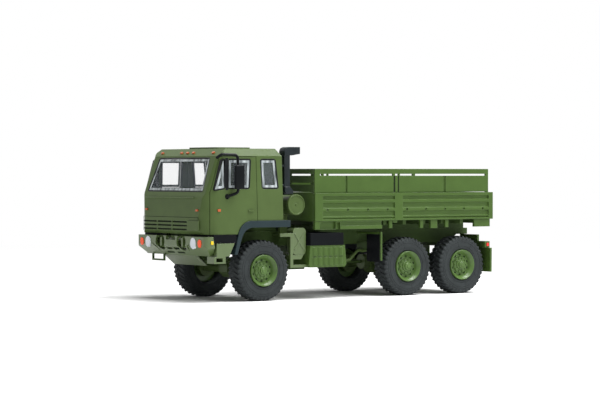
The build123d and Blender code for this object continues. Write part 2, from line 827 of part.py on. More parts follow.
bumper_corner = 1.4
bumper_end_rise = 2.0
shackle_z = bumper_top - 1.5
vent_spans = (  # x from, x to, z from, z to on the right half
    (0.35, 3.1, bumper_top - 3.55, bumper_top - 2.95),
    (0.6, 4.4, bumper_top - 4.65, bumper_top - 3.95),
)
bumper_slit = ((7.0, bumper_top - 4.4), (7.5, bumper_top - 2.6), (9.2, bumper_top - 1.8), (7.9, bumper_top - 3.2))
with BuildPart() as front_bumper:
    side_prism(bumper_outline, (-body_half_width, body_half_width))
    with BuildSketch(Plane.XY) as bumper_plan:
        with BuildLine():
            FilletPolyline(
                (body_half_width, bumper_face + 5),
                (body_half_width, bumper_face),
                (-body_half_width, bumper_face),
                (-body_half_width, bumper_face + 5),
                radius=bumper_corner,
            )
            Line((-body_half_width, bumper_face + 5), (body_half_width, bumper_face + 5))
        make_face()
    extrude(bumper_plan.sketch, amount=bumper_top + 1, mode=Mode.INTERSECT)
    front_prism(
        (
            (-body_half_width, bumper_top + 1),
            (-body_half_width, bumper_break - 0.3),
            (-body_half_width + bumper_end_rise, bumper_bottom - 0.1),
            (body_half_width - bumper_end_rise, bumper_bottom - 0.1),
            (body_half_width, bumper_break - 0.3),
            (body_half_width, bumper_top + 1),
        ),
        (bumper_face - 1, bumper_face + 6),
        Mode.INTERSECT,
    )
    side_prism(bumper_pocket, (-body_half_width + 2.7, body_half_width - 2.7), Mode.SUBTRACT)
    block((-10.4, 10.4), (bumper_face + 1.5, bumper_face + 2.0), (bumper_bottom + 1.9, bumper_top - 0.05))
    for side in (-1, 1):
        long_rod(side * shackle_x, (bumper_face - 1, bumper_face + 1.5), shackle_z, shackle_radius, Mode.SUBTRACT)
        for x_low, x_high, z_low, z_high in vent_spans:
            block((side * x_low, side * x_high), (bumper_face - 1, bumper_face + 1.5), (z_low, z_high), Mode.SUBTRACT)
        front_prism(tuple((side * x, z) for x, z in bumper_slit), (bumper_face - 1, bumper_face + 1.5), Mode.SUBTRACT)
        block((side * shackle_x - 0.35, side * shackle_x + 0.35), (bumper_face + 0.3, bumper_face + 1.5), (shackle_z - 1.2, shackle_z + 1.0))
    block((-2.2, 2.2), (bumper_face - 1, bumper_face + 1.5), (bumper_top - 1.0, bumper_top + 1), Mode.SUBTRACT)
    for side in (-1, 1):
        lamp_seat(side * headlamp_x, 1.25, 1.45, seat_gap, 1, bumper_face + lamp_depth, Mode.SUBTRACT)
        lamp_seat(side * turn_lamp_x, 0.82, 1.0, seat_gap, 1, bumper_face + lamp_depth, Mode.SUBTRACT)
save(front_bumper, "front_bumper")

# Step bar that hangs below the bumper's right half
loop_x = (-12.4, -6.4)
loop_bar = 0.45
loop_y = (front_face + 2.2, front_face + 2.2 + loop_bar)
loop_bottom = bumper_bottom - 1.7
with BuildPart() as front_step_loop:
    block(loop_x, loop_y, (loop_bottom, bumper_bottom + 0.1))
    block((loop_x[0] + loop_bar, loop_x[1] - loop_bar), (loop_y[0] - 1, loop_y[1] + 1), (loop_bottom + loop_bar, bumper_bottom + 1), Mode.SUBTRACT)
    add(front_bumper.part, mode=Mode.SUBTRACT)
save(front_step_loop, "front_step_loop")

# Yellow reflectors on the bumper's ends and on the doors' front edges
with BuildPart() as side_reflectors:
    for side in (-1, 1):
        for x, y, z, half_y, half_z in (
            (body_half_width, front_face + 2.0, bumper_top - 1.5, 0.35, 0.45),
            (cab_half_width, front_axle - 14.3, cab_sill + 6.2, 0.45, 0.3),
        ):
            span = tuple(sorted((side * (x + seat_gap), side * (x + 0.2))))
            block(span, (y - half_y, y + half_y), (z - half_z, z + half_z))
save(side_reflectors, "side_reflectors")

lamp_out = lamp_depth - seat_gap + bumper_face - front_face
with BuildPart() as headlamps:
    for side in (-1, 1):
        lamp_seat(side * headlamp_x, 1.25, 1.45, 0, lamp_out, front_face + lamp_out, Mode.ADD)
save(headlamps, "headlamps")
with BuildPart() as turn_lamps:
    for side in (-1, 1):
        lamp_seat(side * turn_lamp_x, 0.82, 1.0, 0, lamp_out, front_face + lamp_out, Mode.ADD)
save(turn_lamps, "turn_lamps")

skid_low = (front_face + 6.1, bumper_bottom - 2.7)
with BuildPart() as skid_plate:
    side_prism(
        (
            (front_face + 2.9, bumper_bottom - 0.05),
            (skid_low[0], skid_low[1]),
            (skid_low[0] + 0.5, skid_low[1] + 0.1),
            (front_face + 3.6, bumper_bottom - 0.05),
        ),
        (-7.6, 7.6),
    )
save(skid_plate, "skid_plate")

# --------------------------------------------------------------- side fittings
tank_y = (front_axle + 13.7, front_axle + 25.9)
tank_bottom = rail_bottom - 5.55
tank_flare = 0.5
bulge_count = 6
bulge_radius = 1.15
bulge_out = 0.28
tank_face = body_half_width - bulge_out
with BuildPart() as fuel_tank:
    side_prism(
        (
            (tank_y[0], tank_bottom + 0.6),
            (tank_y[0] + 0.6, tank_bottom),
            (tank_y[1] - 0.6, tank_bottom),
            (tank_y[1], tank_bottom + 0.6),
            (tank_y[1] - tank_flare, rail_bottom + 0.2),
            (tank_y[0] + tank_flare, rail_bottom + 0.2),
        ),
        (rail_outer_x + seat_gap, tank_face),
    )
    bulge_pitch = (tank_y[1] - tank_y[0] - 2.0) / bulge_count
    for index in range(bulge_count):
        bulge_y = tank_y[0] + 1.0 + (index + 0.5) * bulge_pitch
        for z_low, z_high in ((tank_bottom + 0.5, tank_bottom + 2.6), (tank_bottom + 3.0, rail_bottom - 0.3)):
            with BuildSketch(Plane.XY.offset(z_low)) as bulge:
                with Locations((tank_face + bulge_out - bulge_radius, bulge_y)):
                    RegularPolygon(bulge_radius, 12, rotation=15)
            extrude(bulge.sketch, amount=z_high - z_low)
save(fuel_tank, "fuel_tank")
with BuildPart() as battery_box:
    block((rail_outer_x + seat_gap, body_half_width - 0.2), (tank_y[0] + 0.5, tank_y[1] - 1.0), (rail_bottom + 0.22, rail_top - 0.35))
save(battery_box, "battery_box")

carrier_x = half_track + 2.0
can_height = 7.1
can_y = front_axle + 11.6
can_bottom = rail_top - 2.5 - can_height / 2
post_y = front_axle + 8.6
with BuildPart() as can_carrier:
    block((carrier_x - 0.3, carrier_x + 0.3), (cab_back - 0.4, post_y + 0.9), (rail_top - 1.2, rail_top - 0.3))
    block((carrier_x - 0.3, carrier_x + 0.3), (post_y, post_y + 0.9), (axle_z + 0.5, rail_top - 0.3))
    block((carrier_x - 0.3, carrier_x + 0.3), (post_y, tank_y[0] - seat_gap), (axle_z + 0.5, axle_z + 1.25))
    side_prism(
        (
            (post_y + 0.1, can_bottom - seat_gap),
            (post_y + 4.2, can_bottom - seat_gap),
            (post_y + 3.4, can_bottom - 1.1),
            (post_y + 0.1, can_bottom - 1.1),
        ),
        (carrier_x - 2.6, carrier_x + 0.3),
    )
save(can_carrier, "can_carrier")

can_depth = 2.85
can_x = carrier_x - 2.75
with BuildPart() as fuel_can:
    with BuildSketch(Plane.YZ.offset(can_x)):
        with Locations((can_y, can_bottom + can_height / 2)):
            RectangleRounded(4.1, can_height, 1.1)
    extrude(amount=can_depth)
    for tilt in (-55, 55):
        with Locations(Location((can_x + can_depth, can_y, can_bottom + can_height / 2), (tilt, 0, 0))):
            Box(0.3, 5.2, 0.5)
save(fuel_can, "fuel_can")

# Compressed-air tanks hung from the frame's right side
air_tank_radius = 1.55
air_tank_y = (front_axle + 14.5, front_axle + 24.5)
air_tank_x = (-rail_outer_x - 2.2, -rail_outer_x - 5.8)
hanger_z = (rail_bottom + 1.7, rail_bottom + 2.1)
with BuildPart() as air_tanks:
    for x in air_tank_x:
        with BuildSketch(Plane.XZ.offset(-air_tank_y[0])) as tank_round:
            with Locations((x, hanger_z[0] - air_tank_radius + 0.1)):
                RegularPolygon(air_tank_radius, 16, rotation=11.25)
        extrude(tank_round.sketch, amount=air_tank_y[0] - air_tank_y[1])
    for y in (air_tank_y[0] + 2.0, air_tank_y[1] - 2.0):
        block((air_tank_x[1] - 0.6, -rail_outer_x - seat_gap), (y - 0.4, y + 0.4), hanger_z)
save(air_tanks, "air_tanks")

# Air intake behind the cab: drum, riser and rain cap
drum_centre = (front_axle + 10.65, rail_top + 7.1)
drum_outer = 2.7
with BuildPart() as air_cleaner:
    side_rod((8.3, 15.0), *drum_centre, drum_outer - 0.2)
    side_rod((14.6, 15.28), *drum_centre, drum_outer)
    stand_y = (drum_centre[0] - 1.2, drum_centre[0] + 1.2)
    block((8.6, 9.4), stand_y, (rail_top - 0.8, drum_centre[1] - 2.0))
    block((rail_outer_x + seat_gap, 9.4), stand_y, (rail_top - 1.4, rail_top - 0.8))
save(air_cleaner, "air_cleaner")

riser_x = 13.9
riser_y = (front_axle + 7.0, front_axle + 8.8)
with BuildPart() as intake_stack:
    foot_z = drum_centre[1] + drum_outer
    block((riser_x - 1.0, riser_x + 1.0), riser_y, (foot_z, cab_eaves + 0.2))
    side_prism(
        (
            (riser_y[0] - 0.1, foot_z + 0.9),
            (riser_y[0] + 0.4, foot_z + 0.2),
            (riser_y[1] + 0.8, foot_z + 0.2),
            (riser_y[1] + 0.8, foot_z + 0.9),
            (riser_y[1] - 0.1, foot_z + 2.0),
            (riser_y[0] + 0.1, foot_z + 2.0),
        ),
        (riser_x - 1.35, riser_x + 1.35),
    )
    side_prism(
        (
            (riser_y[0] - 0.1, cab_eaves + 0.2),
            (riser_y[1] + 0.5, cab_eaves + 0.2),
            (riser_y[1] + 3.0, cab_eaves + 0.6),
            (riser_y[1] + 3.0, cab_eaves + 2.4),
            (riser_y[0] + 1.1, cab_eaves + 2.4),
            (riser_y[0] + 0.3, cab_eaves + 2.1),
            (riser_y[0] - 0.1, cab_eaves + 1.4),
        ),
        (riser_x - 1.3, riser_x + 1.3),
    )
    for strap_z in (cab_belt + 1.6, cab_belt + 6.6):
        lean = (strap_z - cab_belt) * back_lean / (cab_eaves - cab_belt)
        strap_front = cab_back - 0.35 - lean + 0.05
        block((riser_x - 0.8, riser_x + 0.8), (strap_front, riser_y[0] + 0.1), (strap_z, strap_z + 0.5))
save(intake_stack, "intake_stack")

# ---------------------------------------------------------------- mirrors
mirror_x = cab_half_width + 1.6
mirror_y = front_axle - 8.9
arm_width = 0.5
mirror_arms = ((1, front_axle - 14.9), (-1, front_axle - 11.4))  # side, front foot of the arm
with BuildPart() as mirrors:
    for side, foot_y in mirror_arms:
        arm_points = (
            (side * (cab_half_width + 0.2), foot_y, cab_eaves - 0.1),
            (side * (mirror_x - 0.6), foot_y + 0.5, cab_eaves + 0.3),
            (side * mirror_x, mirror_y - 0.9, cab_eaves + 0.25),
            (side * mirror_x, mirror_y - 0.7, window_bottom - 0.5),
            (side * (cab_half_width + 0.2), front_axle - 12.6, cab_belt - 1.1),
        )
        with BuildLine() as arm_line:
            Polyline(*arm_points)
        with BuildSketch(Plane(origin=arm_line.line @ 0, z_dir=arm_line.line % 0)) as arm_section:
            Rectangle(arm_width, arm_width)
        sweep(arm_section.sketch, path=arm_line.line, transition=Transition.RIGHT)
        for point in (arm_points[0], arm_points[-1]):
            span = tuple(sorted((side * (cab_half_width + seat_gap), side * (cab_half_width + 0.5))))
            block(span, (point[1] - 0.5, point[1] + 0.5), (point[2] - 0.5, point[2] + 0.5))
        with BuildSketch(Plane.XY.offset(window_bottom + 0.5)) as head:
            with Locations((side * mirror_x, mirror_y + 0.6)):
                Rectangle(1.1, 3.2)
            chamfer(head.vertices(), length=0.3)
        extrude(head.sketch, amount=6.1)
save(mirrors, "mirrors")

# ------------------------------------------------------------------ cargo bed
with BuildPart() as bed_floor:
    block(
        (-board_inner_x + seat_gap, board_inner_x - seat_gap),
        (bed_front + 0.9 + seat_gap, rear_face - 1.0 - seat_gap),
        (floor_top - bed_floor_thickness, floor_top),
    )
save(bed_floor, "bed_floor")

bearer_height = 1.2
sill_top = floor_top - bed_floor_thickness - bearer_height
bearer_count = 9
bearer_front = bed_front + 4.0
bearer_pitch = (rear_face - 3.7 - bearer_front) / (bearer_count - 1)
bearer_stations = tuple(bearer_front + step * bearer_pitch for step in range(bearer_count))
with BuildPart() as bed_subframe:
    for side in (-1, 1):
        block(
            (side * (rail_outer_x - rail_flange), side * rail_outer_x),
            (bed_front + 1.5, rear_face - 1.6),
            (rail_top + seat_gap, sill_top),
        )
    for y in bearer_stations:
        block(
            (-board_inner_x + 0.1, board_inner_x - 0.1),
            (y - 0.55, y + 0.55),
            (sill_top + seat_gap, floor_top - bed_floor_thickness - seat_gap),
        )
save(bed_subframe, "bed_subframe")

board_bottom = floor_top - bed_floor_thickness
rib_depth = 0.4
side_section = (  # x inwards from the bed's outer face, height above the board's foot
    (0, 0),
    (0, 0.45),
    (rib_depth, 0.6),
    (rib_depth, 0.7),
    (0.1, 0.9),
    (0.1, 1.15),
    (rib_depth, 1.35),
    (rib_depth, 2.3),
    (0, 2.6),
    (0, 3.25),
    (rib_depth, 3.6),
    (rib_depth, 4.55),
    (0, 4.85),
    (0, 5.5),
    (rib_depth, 5.7),
    (rib_depth, 6.4),
    (0, 6.6),
    (0, bed_side_height + bed_floor_thickness),
    (bed_board, bed_side_height + bed_floor_thickness),
    (bed_board, 0),
)
middle_post = (middle_axle - 5.35, middle_axle - 2.65)
post_spans = ((bed_front, bed_front + 2.5), middle_post, (rear_face - 1.5, rear_face))
notch = (0.6, 0.35, 0.5)  # along the bed, deep, high
notch_z = board_bottom + 2.95
with BuildPart() as side_board:
    front_prism(
        tuple((body_half_width - depth, board_bottom + rise) for depth, rise in side_section),
        (bed_front, rear_face),
    )
    for span in post_spans:
        block((board_inner_x, body_half_width), span, (board_bottom, bed_side_top))
    for y in bearer_stations:
        block(
            (body_half_width - notch[1], body_half_width + 1),
            (y - notch[0] / 2, y + notch[0] / 2),
            (notch_z - notch[2] / 2, notch_z + notch[2] / 2),
            Mode.SUBTRACT,
        )
save_pair(side_board, "side_boards")

# Skirt below the front of the bed, with the recess of a locker in it
skirt_bottom = board_bottom - 2.18
skirt_rear = bed_front + 22.1
recess_y = (bed_front + 1.5, bed_front + 6.7)
slot_y = (bed_front + 6.85, bed_front + 8.2)
with BuildPart() as side_skirt:
    block((board_inner_x - 0.05, body_half_width - 0.1), (bed_front, skirt_rear), (skirt_bottom, board_bottom - seat_gap))
    with BuildSketch(Plane.YZ.offset(body_half_width - 0.75)) as recess:
        with BuildLine():
            FilletPolyline(
                (recess_y[0], skirt_bottom + 0.1),
                (recess_y[0], board_bottom - 0.1),
                (recess_y[1], board_bottom - 0.1),
                radius=1.2,
            )
            Polyline((recess_y[1], board_bottom - 0.1), (recess_y[1], skirt_bottom + 0.1), (recess_y[0], skirt_bottom + 0.1))
        make_face()
    extrude(recess.sketch, amount=2, mode=Mode.SUBTRACT)
    block((body_half_width - 0.8, body_half_width + 1), slot_y, (skirt_bottom - 1, board_bottom - 0.3), Mode.SUBTRACT)
    block((body_half_width - 0.45, body_half_width + 1), (slot_y[1] + 0.15, skirt_rear + 1), (skirt_bottom + 0.93, board_bottom - 0.25), Mode.SUBTRACT)
save_pair(side_skirt, "side_skirts")

# Brackets under the bed's side, and the box at its rear corner
bracket_stations = (  # front, rear, bottom
    (bed_front + 24.7, bed_front + 25.7, board_bottom - 2.1),
    (bed_front + 26.0, bed_front + 27.4, board_bottom - 0.65),
    (rear_face - 25.3, rear_face - 24.3, board_bottom - 2.25),
    (rear_face - 21.7, rear_face - 19.4, board_bottom - 2.3),
    (rear_face - 16.6, rear_face - 15.5, board_bottom - 2.1),
    (rear_face - 6.4, rear_face - 0.8, board_bottom - 2.1),
)
with BuildPart() as bed_bracket:
    for front, rear, bottom in bracket_stations:
        block((board_inner_x - 0.05, body_half_width - 0.35), (front, rear), (bottom, board_bottom - seat_gap))
save_pair(bed_bracket, "bed_brackets")

inner_span = board_inner_x - seat_gap
with BuildPart() as bed_bulkhead:
    block((-inner_span, inner_span), (bed_front + 0.05, bed_front + 0.9), (board_bottom, bed_side_top + 0.2))
save(bed_bulkhead, "bed_bulkhead")
gate_ribs = 5
gate_pitch = 2 * inner_span / (gate_ribs - 1)
with BuildPart() as tailgate:
    block((-inner_span, inner_span), (rear_face - 1.0, rear_face - 0.1), (board_bottom, bed_side_top))
    for bay in range(gate_ribs - 1):
        bay_x = -inner_span + bay * gate_pitch
        block(
            (bay_x + 0.7, bay_x + gate_pitch - 0.7),
            (rear_face - 0.45, rear_face + 1),
            (board_bottom + 0.9, bed_side_top - 0.9),
            Mode.SUBTRACT,
        )
save(tailgate, "tailgate")

# Troop seat racks, folded up as the bed's upper sides
rack_x = body_half_width - 0.3
rack_low = bed_side_top + 0.15
rack_front = bed_front + 0.05
rack_rear = rear_face - 1.45
slit_z = (rack_top - 1.85, rack_top - 1.35)
rack_posts = (
    (rack_front, rack_front + 1.7),
    (middle_post[0] - 0.4, middle_post[0] + 0.3),
    (middle_post[0] + 1.5, middle_post[0] + 1.95),
    (rack_rear - 0.9, rack_rear),
)
groove_spans = ((bed_front + 10.0, bed_front + 10.65), (rear_face - 17.5, rear_face - 16.6))
with BuildPart() as seat_rack:
    block((rack_x - rack_thickness, rack_x), (rack_front, rack_rear), (rack_low, rack_top))
    block((rack_x - 1, rack_x + 1), (rack_posts[0][1], rack_posts[-1][0]), slit_z, Mode.SUBTRACT)
    for span in groove_spans:
        block((rack_x - 0.3, rack_x + 1), span, (rack_low - 1, slit_z[0]), Mode.SUBTRACT)
    for span in rack_posts:
        block((rack_x - rack_thickness, rack_x), span, (bed_side_top + seat_gap, rack_top))
save_pair(seat_rack, "seat_racks")

slat_spans = ((0.3, 2.25), (2.7, 4.55), (5.05, 6.4))  # bottom, top above the bed's side
head_y = (bed_front + 0.05, bed_front + 0.6)
head_reach = rack_x - rack_thickness - seat_gap
with BuildPart() as head_rack:
    for low, high in slat_spans:
        block((-head_reach, head_reach), head_y, (bed_side_top + low, bed_side_top + high))
    for x in (-rack_x + 1.5, -5.0, 5.0, rack_x - 1.5):
        block((x - 0.5, x + 0.5), (head_y[0] + 0.1, head_y[1]), (bed_side_top + 0.2 + seat_gap, rack_top))
save(head_rack, "head_rack")

# ------------------------------------------------------------- flaps and tail
flap_y = middle_axle - tyre_radius - 2.0
flap_x = (tyre_inner_x - 0.15, body_half_width - 0.25)
with BuildPart() as flap_brackets:
    for side in (-1, 1):
        block((side * (flap_x[1] - 0.43), side * flap_x[1]), (flap_y, flap_y + 0.5), (axle_z + 1.75, rail_top - 0.45))
        block((side * (rail_outer_x + seat_gap), side * flap_x[1]), (flap_y, flap_y + 0.5), (rail_top - 1.03, rail_top - 0.43))
save(flap_brackets, "flap_brackets")

tail_y = (rear_face - 2.0, rear_face - 0.3)
tail_z = (axle_z + 4.5, axle_z + 6.3)
tow_bore_radius = 0.45
hanger_reach = tyre_inner_x + 2.0
lamp_box_x = body_half_width - 1.0
with BuildPart() as tail_beam:
    block((-lamp_box_x, lamp_box_x), tail_y, tail_z)
    for side in (-1, 1):
        hanger_x = (side * (rail_outer_x - 1), side * hanger_reach)
        block(hanger_x, (tail_y[0], tail_y[0] + 0.7), (tail_z[1] - 0.1, rail_bottom + tail_rise - seat_gap))
    with Locations((0, (tail_y[0] + tail_y[1]) / 2, (tail_z[0] + tail_z[1]) / 2)):
        Cylinder(tow_bore_radius, 3, mode=Mode.SUBTRACT)
save(tail_beam, "tail_beam")

# Red lenses on the beam's rear face and on its two ends
with BuildPart() as tail_lamps:
    for side in (-1, 1):
        for inner, outer in ((10.6, 12.4), (12.8, 15.2)):
            block((side * inner, side * outer), (tail_y[1] + seat_gap, tail_y[1] + 0.22), (tail_z[0] + 0.35, tail_z[1] - 0.35))
        span = tuple(sorted((side * (lamp_box_x + seat_gap), side * (lamp_box_x + 0.2))))
        block(span, (tail_y[0] + 0.5, tail_y[0] + 1.3), (tail_z[0] + 0.45, tail_z[1] - 0.45))
save(tail_lamps, "tail_lamps")

with BuildPart() as mudflaps:
    for side in (-1, 1):
        front_x = (side * flap_x[0], side * (flap_x[1] - 0.45))
        block(front_x, (flap_y, flap_y + 0.3), (axle_z + 1.4, rail_top - 1.05))
save(mudflaps, "mudflaps")
with BuildPart() as rear_flaps:
    for side in (-1, 1):
        rear_x = (side * (tyre_inner_x - 0.1), side * (body_half_width - 0.05))
        block(rear_x, (rear_face - 0.8, rear_face - 0.5), (axle_z - 2.2, tail_z[0] - seat_gap))
        rim_x = (side * (body_half_width - 0.45), side * (body_half_width - 0.05))
        block(rim_x, (rear_face - 0.9, rear_face - 0.3), (axle_z - 2.2, tail_z[0] - seat_gap))
save(rear_flaps, "rear_flaps")
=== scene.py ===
"""Finish of a 1:72 display model of a three-axle cab-over military cargo truck."""

import math

import bmesh
import bpy
from mathutils import Matrix, Vector


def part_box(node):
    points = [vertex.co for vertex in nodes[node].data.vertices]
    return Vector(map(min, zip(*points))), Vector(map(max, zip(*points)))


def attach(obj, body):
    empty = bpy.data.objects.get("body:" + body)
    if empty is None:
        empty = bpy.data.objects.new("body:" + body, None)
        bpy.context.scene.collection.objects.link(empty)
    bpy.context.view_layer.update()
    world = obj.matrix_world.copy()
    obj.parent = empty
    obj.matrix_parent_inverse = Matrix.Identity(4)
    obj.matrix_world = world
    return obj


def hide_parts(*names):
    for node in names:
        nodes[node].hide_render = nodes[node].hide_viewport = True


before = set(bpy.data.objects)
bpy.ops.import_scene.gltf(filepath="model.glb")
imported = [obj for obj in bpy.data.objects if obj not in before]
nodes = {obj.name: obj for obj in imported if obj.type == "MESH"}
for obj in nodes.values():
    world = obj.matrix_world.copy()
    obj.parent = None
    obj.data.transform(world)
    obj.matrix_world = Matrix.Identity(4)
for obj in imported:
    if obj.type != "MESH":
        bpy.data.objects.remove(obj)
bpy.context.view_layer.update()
mm = 0.001

# ---------------------------------------------------------------- viewpoint
# A long lens stands low and well forward of the truck's left side, so that
# the cab, the left flank and the open bed's edge all show.
camera_azimuth = math.radians(54.79)
camera_elevation = math.radians(0.72)
camera_distance = 606.8 * mm
camera_target = Vector((0, -6.11, 25.69)) * mm
lens_length = 135.0
sensor_width = 36.0
camera_data = bpy.data.cameras.new("viewpoint")
camera_data.lens = lens_length
camera_data.sensor_width = sensor_width
camera_data.clip_start = 0.01
camera_data.clip_end = 20.0
camera = bpy.data.objects.new("viewpoint", camera_data)
bpy.context.scene.collection.objects.link(camera)
towards_camera = Vector(
    (
        math.sin(camera_azimuth) * math.cos(camera_elevation),
        -math.cos(camera_azimuth) * math.cos(camera_elevation),
        math.sin(camera_elevation),
    )
)
camera.location = camera_target + towards_camera * camera_distance
camera.rotation_mode = "QUATERNION"
camera.rotation_quaternion = (-towards_camera).to_track_quat("-Z", "Y")
bpy.context.scene.camera = camera
bpy.context.scene.view_settings.view_transform = "Standard"

# ------------------------------------------------------------ studio table
# A wide matt white table runs out to a white background. It is lit from
# above, and only the soft shadow under the truck darkens it.
table_half = 4.0
table_colour = (0.82, 0.82, 0.82, 1)
table_mesh = bpy.data.meshes.new("studio_table")
table_corners = ((-1, -1), (1, -1), (1, 1), (-1, 1))
table_mesh.from_pydata(
    [(x * table_half, y * table_half, 0) for x, y in table_corners], [], [(0, 1, 2, 3)]
)
table = bpy.data.objects.new("studio_table", table_mesh)
bpy.context.scene.collection.objects.link(table)
table_material = bpy.data.materials.new("studio_table")
table_material.use_nodes = True


def wire(tree, *links):
    """Joins each pair of sockets, from output to input."""
    for start, end in links:
        tree.links.new(start, end)


tree = table_material.node_tree
tree.nodes.clear()
output = tree.nodes.new("ShaderNodeOutputMaterial")
matt = tree.nodes.new("ShaderNodeBsdfDiffuse")
matt.inputs["Color"].default_value = table_colour
glow = tree.nodes.new("ShaderNodeEmission")
glow.inputs["Strength"].default_value = 1.0
near_fade = tree.nodes.new("ShaderNodeMapRange")
near_fade.inputs["From Min"].default_value = 0.10
near_fade.inputs["From Max"].default_value = 0.45
place = tree.nodes.new("ShaderNodeTexCoord")
reach = tree.nodes.new("ShaderNodeVectorMath")
reach.operation = "LENGTH"
blend = tree.nodes.new("ShaderNodeMixShader")
wire(
    tree,
    (place.outputs["Object"], reach.inputs[0]),
    (reach.outputs["Value"], near_fade.inputs["Value"]),
    (near_fade.outputs["Result"], blend.inputs["Fac"]),
    (matt.outputs[0], blend.inputs[1]),
    (glow.outputs[0], blend.inputs[2]),
    (blend.outputs[0], output.inputs["Surface"]),
)
table_mesh.materials.append(table_material)

# ----------------------------------------------------------- white surround
# The room round the table. It gives a dim, even light, and is plain white
# where it is seen directly, in a gloss or through the glazing.
world = bpy.data.worlds.new("studio")
bpy.context.scene.world = world
world.use_nodes = True
tree = world.node_tree
tree.nodes.clear()
output = tree.nodes.new("ShaderNodeOutputWorld")
ambient = tree.nodes.new("ShaderNodeBackground")
ambient.inputs["Color"].default_value = (1, 1, 1, 1)
ambient.inputs["Strength"].default_value = 0.36
backdrop = tree.nodes.new("ShaderNodeBackground")
backdrop.inputs["Color"].default_value = (1, 1, 1, 1)
backdrop.inputs["Strength"].default_value = 1.0
path = tree.nodes.new("ShaderNodeLightPath")
seen = tree.nodes.new("ShaderNodeMath")
seen.operation = "MAXIMUM"
seen_all = tree.nodes.new("ShaderNodeMath")
seen_all.operation = "MAXIMUM"
swap = tree.nodes.new("ShaderNodeMixShader")
wire(
    tree,
    (path.outputs["Is Camera Ray"], seen.inputs[0]),
    (path.outputs["Is Glossy Ray"], seen.inputs[1]),
    (seen.outputs[0], seen_all.inputs[0]),
    (path.outputs["Is Transmission Ray"], seen_all.inputs[1]),
    (seen_all.outputs[0], swap.inputs["Fac"]),
    (ambient.outputs[0], swap.inputs[1]),
    (backdrop.outputs[0], swap.inputs[2]),
    (swap.outputs[0], output.inputs["Surface"]),
)

# ------------------------------------------------------------- soft boxes
# One big soft box hangs above, a weaker one stands off the left flank, and a
# third one above the cargo bed puts a sheen on the cab's roof.
aim_point = Vector((0, 0, 0.02))
soft_boxes = (  # name, place, size, watts
    ("top_box", (0.14, 0.04, 0.64), 0.40, 4.3),
    ("flank_box", (0.62, 0.16, 0.46), 0.38, 2.5),
    ("back_box", (0.20, 0.25, 0.58), 0.30, 3.7),
)
for name, place_at, side, watts in soft_boxes:
    lamp_data = bpy.data.lights.new(name, "AREA")
    lamp_data.shape = "SQUARE"
    lamp_data.size = side
    lamp_data.energy = watts
    lamp = bpy.data.objects.new(name, lamp_data)
    bpy.context.scene.collection.objects.link(lamp)
    lamp.location = place_at
    lamp.rotation_mode = "QUATERNION"
    lamp.rotation_quaternion = (aim_point - Vector(place_at)).to_track_quat("-Z", "Y")

# ------------------------------------------------------ chassis and driveline
# The frame, its springs and the shafts are plastic mouldings glued together.
# They are sprayed satin olive green like the rest, in a darker tone.


def new_material(name):
    """Material with its node tree and its main shader."""
    material = bpy.data.materials.new(name)
    material.use_nodes = True
    return material, material.node_tree, material.node_tree.nodes["Principled BSDF"]


def satin_paint(
    name, colour, shade, roughness=0.42, edge_radius=0.10 * mm, grain=0.35, gloss=0.2
):
    """Sprayed satin paint: faint mottle, orange peel and a painted highlight that lightens the
    edges.
    """
    # The edges are lightened in colour: a painted highlight for the light that rounded edges catch.
    edge_highlight_gain, edge_highlight_lift = 1.45, 0.03
    shinier, duller = 0.06, 0.08
    material, tree, shader = new_material(name)
    shader.inputs["Specular IOR Level"].default_value = gloss
    place = tree.nodes.new("ShaderNodeTexCoord")
    mottle = tree.nodes.new("ShaderNodeTexNoise")
    mottle.inputs["Scale"].default_value = 260
    mottle.inputs["Detail"].default_value = 4
    tone = tree.nodes.new("ShaderNodeValToRGB")
    tone.color_ramp.elements[0].position = 0.35
    tone.color_ramp.elements[0].color = (*(c * (1 - shade) for c in colour), 1)
    tone.color_ramp.elements[1].position = 0.65
    tone.color_ramp.elements[1].color = (*colour, 1)
    rounding = tree.nodes.new("ShaderNodeBevel")
    rounding.samples = 6
    rounding.inputs["Radius"].default_value = edge_radius
    true_face = tree.nodes.new("ShaderNodeNewGeometry")
    facing = tree.nodes.new("ShaderNodeVectorMath")
    facing.operation = "DOT_PRODUCT"
    edge = tree.nodes.new("ShaderNodeMapRange")
    edge.inputs["From Min"].default_value = 0.985
    edge.inputs["From Max"].default_value = 0.80
    edge.inputs["To Max"].default_value = 0.45
    painted_edge_highlight = tree.nodes.new("ShaderNodeMix")
    painted_edge_highlight.data_type = "RGBA"
    painted_edge_highlight.inputs["B"].default_value = (
        *(min(1, c * edge_highlight_gain + edge_highlight_lift) for c in colour),
        1,
    )
    peel = tree.nodes.new("ShaderNodeTexNoise")
    peel.inputs["Scale"].default_value = 5200
    peel.inputs["Detail"].default_value = 2
    bump = tree.nodes.new("ShaderNodeBump")
    bump.inputs["Strength"].default_value = grain
    bump.inputs["Distance"].default_value = 0.012 * mm
    dull = tree.nodes.new("ShaderNodeMapRange")
    dull.inputs["To Min"].default_value = roughness - shinier
    dull.inputs["To Max"].default_value = roughness + duller
    wire(
        tree,
        (place.outputs["Object"], mottle.inputs["Vector"]),
        (mottle.outputs["Fac"], tone.inputs["Fac"]),
        (rounding.outputs["Normal"], facing.inputs[0]),
        (true_face.outputs["Normal"], facing.inputs[1]),
        (facing.outputs["Value"], edge.inputs["Value"]),
        (edge.outputs["Result"], painted_edge_highlight.inputs["Factor"]),
        (tone.outputs["Color"], painted_edge_highlight.inputs["A"]),
        (painted_edge_highlight.outputs["Result"], shader.inputs["Base Color"]),
        (place.outputs["Object"], peel.inputs["Vector"]),
        (peel.outputs["Fac"], bump.inputs["Height"]),
        (rounding.outputs["Normal"], bump.inputs["Normal"]),
        (bump.outputs["Normal"], shader.inputs["Normal"]),
        (mottle.outputs["Fac"], dull.inputs["Value"]),
        (dull.outputs["Result"], shader.inputs["Roughness"]),
    )
    return material


def paint_nodes(material, *names):
    """Gives a finish to solids that keep their own shape."""
    for name in names:
        nodes[name].data.materials.clear()
        nodes[name].data.materials.append(material)


